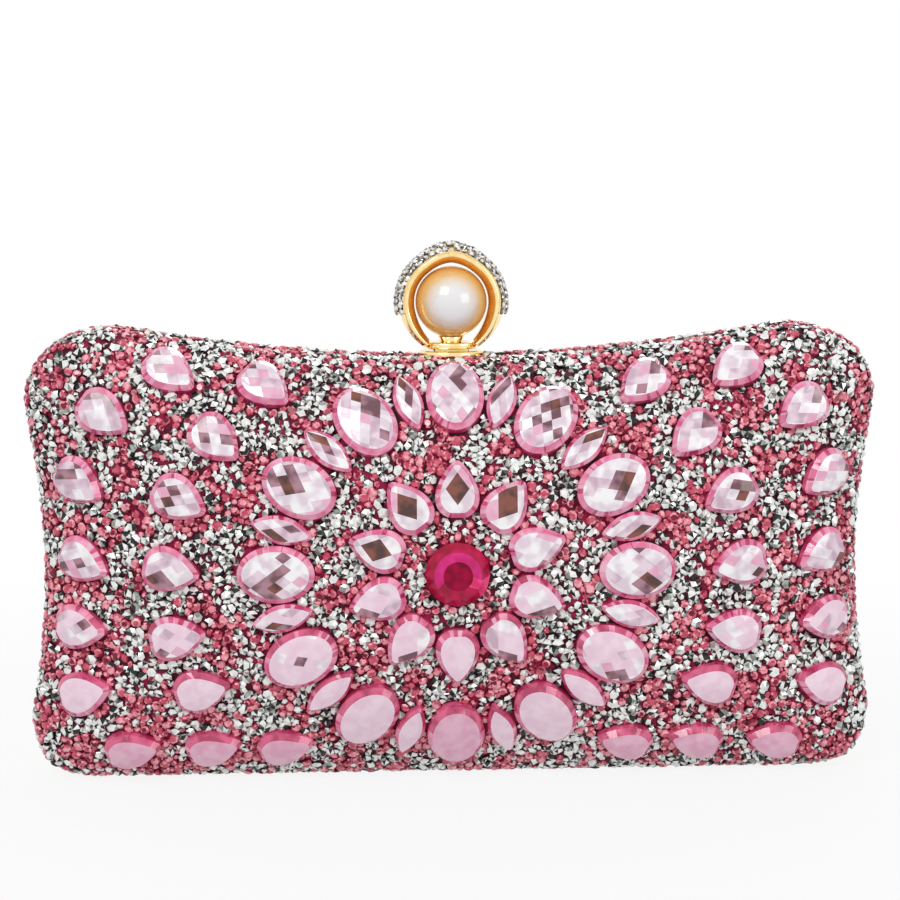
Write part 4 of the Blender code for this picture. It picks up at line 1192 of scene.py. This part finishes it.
def block_tool(low, high):
    """A block to cut or join with."""
    loops = [[(low[0], low[1], z), (high[0], low[1], z), (high[0], high[1], z), (low[0], high[1], z)]
             for z in (low[2], high[2])]
    return loft("tool", loops, gold)


def rod_tool(half_length, centre_y, centre_z, radius):
    """A rod along X to cut with."""
    loops = []
    for x in (-half_length, half_length):
        loops.append([(x, centre_y + radius * math.cos(t), centre_z + radius * math.sin(t))
                      for t in circle(ROD_SIDES)])
    return loft("tool", loops, gold)


def combine(obj, tools, operation):
    """Cut with, or join with, other solids, and remove them."""
    for tool in tools:
        modifier = obj.modifiers.new("solid", "BOOLEAN")
        modifier.operation = operation
        modifier.solver = "EXACT"
        modifier.object = tool
    bpy.context.view_layer.update()
    evaluated = obj.evaluated_get(bpy.context.evaluated_depsgraph_get())
    mesh = bpy.data.meshes.new_from_object(evaluated)
    obj.modifiers.clear()
    obj.data = mesh
    for tool in tools:
        bpy.data.objects.remove(tool, do_unlink=True)
    sharpen(obj)


def add_collar():
    """The oval collar on the top edge, with the lever's window and the pivot's bore."""
    collar = oval_plate("collar_polished", COLLAR_HALF_WIDTH, COLLAR_HALF_DEPTH, COLLAR_BOTTOM, COLLAR_TOP,
                        PLATE_BEVEL, gold)
    window_back = PIVOT_BACK + LEVER_HEEL + WINDOW_HEEL_ROOM
    window = block_tool((-WINDOW_HALF_WIDTH, -WINDOW_FRONT, COLLAR_BOTTOM - COLLAR_THICK),
                        (WINDOW_HALF_WIDTH, window_back, COLLAR_TOP + COLLAR_THICK))
    bore = rod_tool(COLLAR_HALF_WIDTH * BORE_SHARE, PIVOT_BACK, PIVOT_HEIGHT, PIVOT_RADIUS + PIN_CLEARANCE)
    feet = []
    for side in (-1, 1):
        low_x, high_x = sorted(side * (WINDOW_HALF_WIDTH + reach) for reach in (GAP, COLLAR_FOOT_WIDTH))
        feet.append(block_tool((low_x, PARTING_GAP / 2 + GAP, FRAME_TOP + COLLAR_FOOT_GAP),
                               (high_x, FRAME_DEPTH - GAP, PIVOT_HEIGHT)))
    combine(collar, feet, "UNION")
    combine(collar, [window, bore], "DIFFERENCE")
    declare(collar, "rear_half", "gold", "clasp_collar")


def add_lever():
    """The lever: the oval plate that carries the ring, the block under it and the nose of the catch."""
    lever = oval_plate("lever_polished", LEVER_DISC_HALF_WIDTH, LEVER_DISC_HALF_DEPTH, DISC_BOTTOM, DISC_TOP,
                       PLATE_BEVEL, gold)
    half_block = WINDOW_HALF_WIDTH - GAP
    block = block_tool((-half_block, GAP - WINDOW_FRONT, COLLAR_BOTTOM),
                       (half_block, PIVOT_BACK + LEVER_HEEL, DISC_BOTTOM + LEVER_DISC_THICK / 2))
    nose = block_tool((-NOSE_HALF_WIDTH, -NOSE_FRONT, FRAME_TOP - NOSE_DROP),
                      (NOSE_HALF_WIDTH, -NOSE_BACK, PIVOT_HEIGHT))
    bore = rod_tool(WINDOW_HALF_WIDTH, PIVOT_BACK, PIVOT_HEIGHT, PIVOT_RADIUS + PIN_CLEARANCE)
    combine(lever, [block, nose], "UNION")
    combine(lever, [bore], "DIFFERENCE")
    declare(lever, "clasp_lever", "gold", "clasp_lever")


def half_band(side):
    """One of the two bands of the ring; the right one ends over the left one at the top."""
    section = outer_section(RING_EDGE_RADIUS + RING_EDGE_THICK, RING_CREST_RADIUS)
    section += [(RING_EDGE_RADIUS, RING_HALF_DEPTH), (BAND_INNER_RADIUS, RING_CREST_HALF_DEPTH),
                (BAND_INNER_RADIUS, -RING_CREST_HALF_DEPTH), (RING_EDGE_RADIUS, -RING_HALF_DEPTH)]
    section = round_corners(section, BAND_BEVEL)
    end = RING_TOP + BAND_OVERLAP if side > 0 else RING_TOP - BAND_OVERLAP
    start = RING_START if side > 0 else HALF_TURN - RING_START

    def narrow(radius, depth, degrees):
        near = max(0.0, 1 - abs(degrees - end) / BAND_TAPER) ** 2
        if side > 0:
            return radius, depth * (1 + BAND_FLARE * near)
        return radius, depth * (1 - BAND_NARROW * near)

    hand = "right" if side > 0 else "left"
    return sweep(f"ring_band_{hand}", section, start, end, gold, narrow)


def add_ring():
    """The two bands of the ring, cut to stand on the lever's plate."""
    half_x = LEVER_DISC_HALF_WIDTH - PLATE_BEVEL
    half_y = LEVER_DISC_HALF_DEPTH - PLATE_BEVEL
    for side, nodes in ((1, ["clasp_ring"]), (-1, [])):
        band = half_band(side)
        loops = [ellipse_loop(half_x, half_y, level, PLATE_SIDES) for level in (COLLAR_TOP, DISC_TOP)]
        seat = loft("tool", loops, gold)
        floor = block_tool((-RING_CREST_RADIUS, -RING_CREST_RADIUS, TOP_MIDDLE - COLLAR_THICK),
                           (RING_CREST_RADIUS, RING_CREST_RADIUS, COLLAR_TOP + LEVER_DISC_GAP / 2))
        combine(band, [seat, floor], "DIFFERENCE")
        declare(band, "clasp_lever", "gold", *nodes)


def add_pave(side):
    """Bright plate and rows of small stones on the outer side of one band."""
    hand = "right" if side > 0 else "left"
    edge = RING_EDGE_RADIUS + RING_EDGE_THICK
    crest = RING_CREST_RADIUS
    start = STRIP_START if side > 0 else HALF_TURN - STRIP_START
    inner = outer_section(edge - PAVE_SINK, crest - PAVE_SINK)
    outer = outer_section(edge + PAVE_BED / 2, crest + PAVE_BED)[::-1]
    bed = sweep(f"ring_bed_{hand}", inner + outer, start, RING_TOP, dull_gold)
    declare(bed, "clasp_lever", "clear_crystal", f"ring_crystals_{hand}")
    rng = np.random.default_rng(PAVE_SEED + side)
    slope_depth = RING_HALF_DEPTH - RING_CREST_HALF_DEPTH
    slope_rise = crest + PAVE_BED / 2 - edge
    lean = math.atan2(slope_rise, slope_depth)
    rows = [(way, share) for way in (-1, 1) for share in PAVE_ROW_SHARES]
    rows.append((1, RING_HALF_DEPTH / slope_depth))
    spots = []
    normals = []
    for row, (way, share) in enumerate(rows):
        radius = edge + PAVE_BED / 2 + slope_rise * min(1, share)
        depth = way * (RING_HALF_DEPTH - slope_depth * share)
        lean_out, lean_depth = (math.cos(lean), way * math.sin(lean)) if share < 1 else (1.0, 0.0)
        for number in range(PAVE_COUNT):
            place_share = (number + PAVE_LEAD + 2 * PAVE_LEAD * (row % 2)) / PAVE_COUNT
            degrees = start + (RING_TOP - start) * place_share
            turn = math.radians(degrees)
            spots.append(ring_point(radius, depth, degrees))
            normals.append((lean_out * math.cos(turn), lean_depth, lean_out * math.sin(turn)))
    stones = set_stones(f"ring_pave_{hand}", np.array(spots), np.array(normals), "pave", 1.0, rng)
    declare(stones, "clasp_lever", "clear_crystal")


def lathe(name, profile, centre_z, material):
    """A closed body turned about the upright axis; zero radius closes an end."""
    points = []
    rows = []
    for radius, height in profile:
        turns = circle(TURNED_SIDES) if radius else [0.0]
        rows.append(list(range(len(points), len(points) + len(turns))))
        points.extend((radius * math.cos(turn), radius * math.sin(turn), centre_z + height) for turn in turns)
    faces = []
    for lower, upper in zip(rows, rows[1:]):
        for step in range(TURNED_SIDES):
            after = (step + 1) % TURNED_SIDES
            if len(lower) == 1:
                faces.append((lower[0], upper[step], upper[after]))
            elif len(upper) == 1:
                faces.append((lower[after], lower[step], upper[0]))
            else:
                faces.append((lower[step], lower[after], upper[after], upper[step]))
    return add_mesh(name, points, faces, [material], rounded=True)


def add_pearl():
    """The pearl and the small gold cup under it."""
    profile = []
    for step in range(PEARL_STEPS + 1):
        turn = math.pi * step / PEARL_STEPS
        radius = 0 if step in (0, PEARL_STEPS) else PEARL_RADIUS * math.sin(turn)
        profile.append((radius, -PEARL_RADIUS * math.cos(turn)))
    pearl = lathe("pearl_fine", profile, PEARL_HEIGHT, nacre)
    declare(pearl, "clasp_lever", "pearl_nacre", "pearl", "pearl_peg")
    low = CUP_BOTTOM - GAP
    rim = CUP_RADIUS + CUP_FLARE
    rim_height = PEARL_HEIGHT - math.sqrt((PEARL_RADIUS + GAP) ** 2 - rim ** 2)
    profile = [
        (0, low),
        (CUP_RADIUS * CUP_FOOT_SHARE, low),
        (CUP_RADIUS * CUP_BEND_SHARE, low + CUP_FLOOR * CUP_BEND_RISE_SHARE),
        (CUP_RADIUS * CUP_SIDE_SHARE, low + CUP_FLOOR),
        (rim, rim_height),
        (rim - CUP_LIP, rim_height + CUP_LIP / 2),
        (rim - 2 * CUP_LIP, rim_height - CUP_LIP / 2),
        (0, CUP_BOTTOM + CUP_FLOOR / 2),
    ]
    cup = lathe("pearl_cup_fine", profile, 0.0, gold)
    declare(cup, "clasp_lever", "gold", "pearl_cup")


add_collar()
add_lever()
add_ring()
for hand_side in (1, -1):
    add_pave(hand_side)
add_pearl()


# Linings, shells and rims

def gathers(rows, side):
    """Soft folds of the satin, deepest at the shoulder, that run towards the middle."""
    folded = []
    even_share, fold_share, ripple_share = FOLD_SHARES
    for number, row in enumerate(rows):
        share = number / (len(rows) - 1)
        strength = FOLD_DEPTH * math.sin(math.pi * min(1.0, share * FOLD_REACH)) ** FOLD_POWER
        moved = row.copy()
        for index, turn in enumerate(circle(len(row))):
            x, y, z = row[index]
            fold = noise.noise(Vector((math.cos(turn) * FOLD_SCALE, math.sin(turn) * FOLD_SCALE,
                                       share * FOLD_DRIFT + side * FOLD_APART)))
            ripple = noise.noise(Vector((x * RIPPLE_SCALE, y * RIPPLE_SCALE + side, z * RIPPLE_SCALE)))
            inward = strength * (even_share + fold_share * fold + ripple_share * ripple)
            away = Vector((x, y, z - HALF_HEIGHT)).normalized()
            moved[index] = (x - away.x * inward, y - away.y * inward, z - away.z * inward)
        folded.append(moved)
    return folded


def add_lining(side, half):
    """The padded satin liner of a half."""
    layers = (LINING_LAYER, LINING_LAYER + LINING_THICK)
    lining = skin_solid(f"{half}_satin_liner", side, layers, satin, gathers)
    declare(lining, f"{half}_half", "lining_satin", f"{half}_lining")


def add_shell(side, half):
    """The pressed shell of a half."""
    layers = (SHELL_LAYER, SHELL_LAYER + SHELL_THICK)
    shell = skin_solid(f"{half}_pressed_shell", side, layers, shell_metal)
    declare(shell, f"{half}_half", "shell_metal", f"{half}_shell")


def add_rim(side, half):
    """The gold rim of a half with eased edges, notched for the hinges and the catch plate."""
    inner = FRAME_INSET + FRAME_BREADTH
    near = PARTING_GAP / 2
    corners = [(FRAME_INSET, near), (FRAME_INSET, FRAME_DEPTH), (inner, FRAME_DEPTH), (inner, near)]
    section = round_corners(corners, RIM_EASE)
    turns = even_turns(RIM_COLUMNS)
    points = []
    for inset, depth in section:
        x, z = outline_ring(inset, turns)
        points.append(np.stack((x, np.full_like(x, side * depth), z), axis=1))
    faces = row_faces(len(section), RIM_COLUMNS)
    faces.extend(bridge((len(section) - 1) * RIM_COLUMNS, 0, RIM_COLUMNS))
    rim = add_mesh(f"{half}_rim", np.concatenate(points), faces, [dull_gold], rounded=True)
    low, high = sorted((0.0, side * (FRAME_DEPTH + GAP)))
    half_notch = HINGE_LENGTH / 2 + GAP
    notch_top = HINGE_HEIGHT + KNUCKLE_RADIUS + GAP
    tools = [block_tool((x - half_notch, low, 0.0), (x + half_notch, high, notch_top))
             for x in (-HINGE_OFFSET, HINGE_OFFSET)]
    if side < 0:
        half_width = CATCH_HALF_WIDTH + GAP
        catch_bottom = FRAME_TOP - CATCH_THICK - GAP
        tools.append(block_tool((-half_width, low, catch_bottom), (half_width, high, TOP_MIDDLE)))
    combine(rim, tools, "DIFFERENCE")
    declare(rim, f"{half}_half", "gold", f"{half}_frame")


for half_side, half_name in ((1, "rear"), (-1, "front")):
    add_lining(half_side, half_name)
    add_shell(half_side, half_name)
    add_rim(half_side, half_name)

for name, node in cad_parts.items():
    leaf = name.startswith("hinge") and not name.endswith("pin")
    if name.startswith(("hinge", "clasp_catch", "clasp_leaf", "clasp_pivot")):
        for slot in node.material_slots:
            slot.material = dull_gold if leaf else steel


# Floor, lamps, world and camera

def add_floor():
    """A pale floor, mostly clear, that holds a soft shadow near the object and fades to white away from it.

    What swings below the floor's level in an open pose shows through it.
    """
    material = bpy.data.materials.new("floor")
    material.use_nodes = True
    tree = material.node_tree
    tree.nodes.clear()
    place = add_node(tree, "ShaderNodeTexCoord").outputs["Object"]
    length = add_node(tree, "ShaderNodeVectorMath", {0: place}, operation="LENGTH").outputs["Value"]
    matte = add_node(tree, "ShaderNodeBsdfDiffuse", {"Color": FLOOR_COLOUR}).outputs["BSDF"]
    clear = add_node(tree, "ShaderNodeBsdfTransparent").outputs["BSDF"]
    fade = value_range(tree, length, FLOOR_CLEAR_SHARE, 1.0, FLOOR_FADE)
    mix = add_node(tree, "ShaderNodeMixShader", {"Fac": fade, 1: matte, 2: clear})
    add_node(tree, "ShaderNodeOutputMaterial", {"Surface": mix.outputs["Shader"]})
    corners = [(x * FLOOR_REACH, y * FLOOR_REACH, 0) for x, y in ((-1, -1), (1, -1), (1, 1), (-1, 1))]
    mesh = bpy.data.meshes.new("floor")
    mesh.from_pydata(corners, [], [(0, 1, 2, 3)])
    floor = link_object("floor", mesh, [material])
    floor.location = (0, 0, -FLOOR_DROP)


def add_world():
    """Soft even light, and a white background for camera, glossy and transmission rays."""
    world = bpy.data.worlds.new("studio")
    bpy.context.scene.world = world
    world.use_nodes = True
    tree = world.node_tree
    tree.nodes.clear()
    path = add_node(tree, "ShaderNodeLightPath")
    seen = path.outputs["Is Camera Ray"]
    for kind in ("Is Glossy Ray", "Is Transmission Ray"):
        terms = {0: seen, 1: path.outputs[kind]}
        seen = add_node(tree, "ShaderNodeMath", terms, operation="ADD", use_clamp=True).outputs["Value"]
    level = value_range(tree, seen, WORLD_LIGHT, 1.0, (0.0, 1.0))
    back = add_node(tree, "ShaderNodeBackground", {"Color": (1, 1, 1, 1), "Strength": level})
    add_node(tree, "ShaderNodeOutputWorld", {"Surface": back.outputs["Background"]})


def add_lamp(name, place, power, size):
    """A soft square lamp that faces the object."""
    light = bpy.data.lights.new(name, "AREA")
    light.shape = "SQUARE"
    light.size = size
    light.energy = power
    lamp = bpy.data.objects.new(name, light)
    lamp.location = place
    lamp.rotation_euler = (AIM - Vector(place)).to_track_quat("-Z", "Y").to_euler()
    bpy.context.scene.collection.objects.link(lamp)


def add_camera():
    """The camera at the photograph's angle."""
    data = bpy.data.cameras.new("camera")
    data.sensor_width = CAMERA_SENSOR
    data.lens = CAMERA_LENS
    camera = bpy.data.objects.new("camera", data)
    azimuth, elevation, roll = (math.radians(value) for value in CAMERA_ANGLES)
    back = Vector((math.sin(azimuth) * math.cos(elevation), -math.cos(azimuth) * math.cos(elevation),
                   math.sin(elevation)))
    right = (-back).cross(Vector((0, 0, 1))).normalized()
    above = right.cross(-back)
    side = right * math.cos(roll) - above * math.sin(roll)
    over = right * math.sin(roll) + above * math.cos(roll)
    rotation = Matrix((side, over, back)).transposed().to_4x4()
    camera.matrix_world = Matrix.Translation(PARTING + CAMERA_AIM + back * CAMERA_DISTANCE) @ rotation
    bpy.context.scene.collection.objects.link(camera)
    bpy.context.scene.camera = camera


add_floor()
add_world()
for lamp in LAMPS:
    add_lamp(*lamp)
add_camera()

bpy.context.scene.view_settings.view_transform = "Standard"
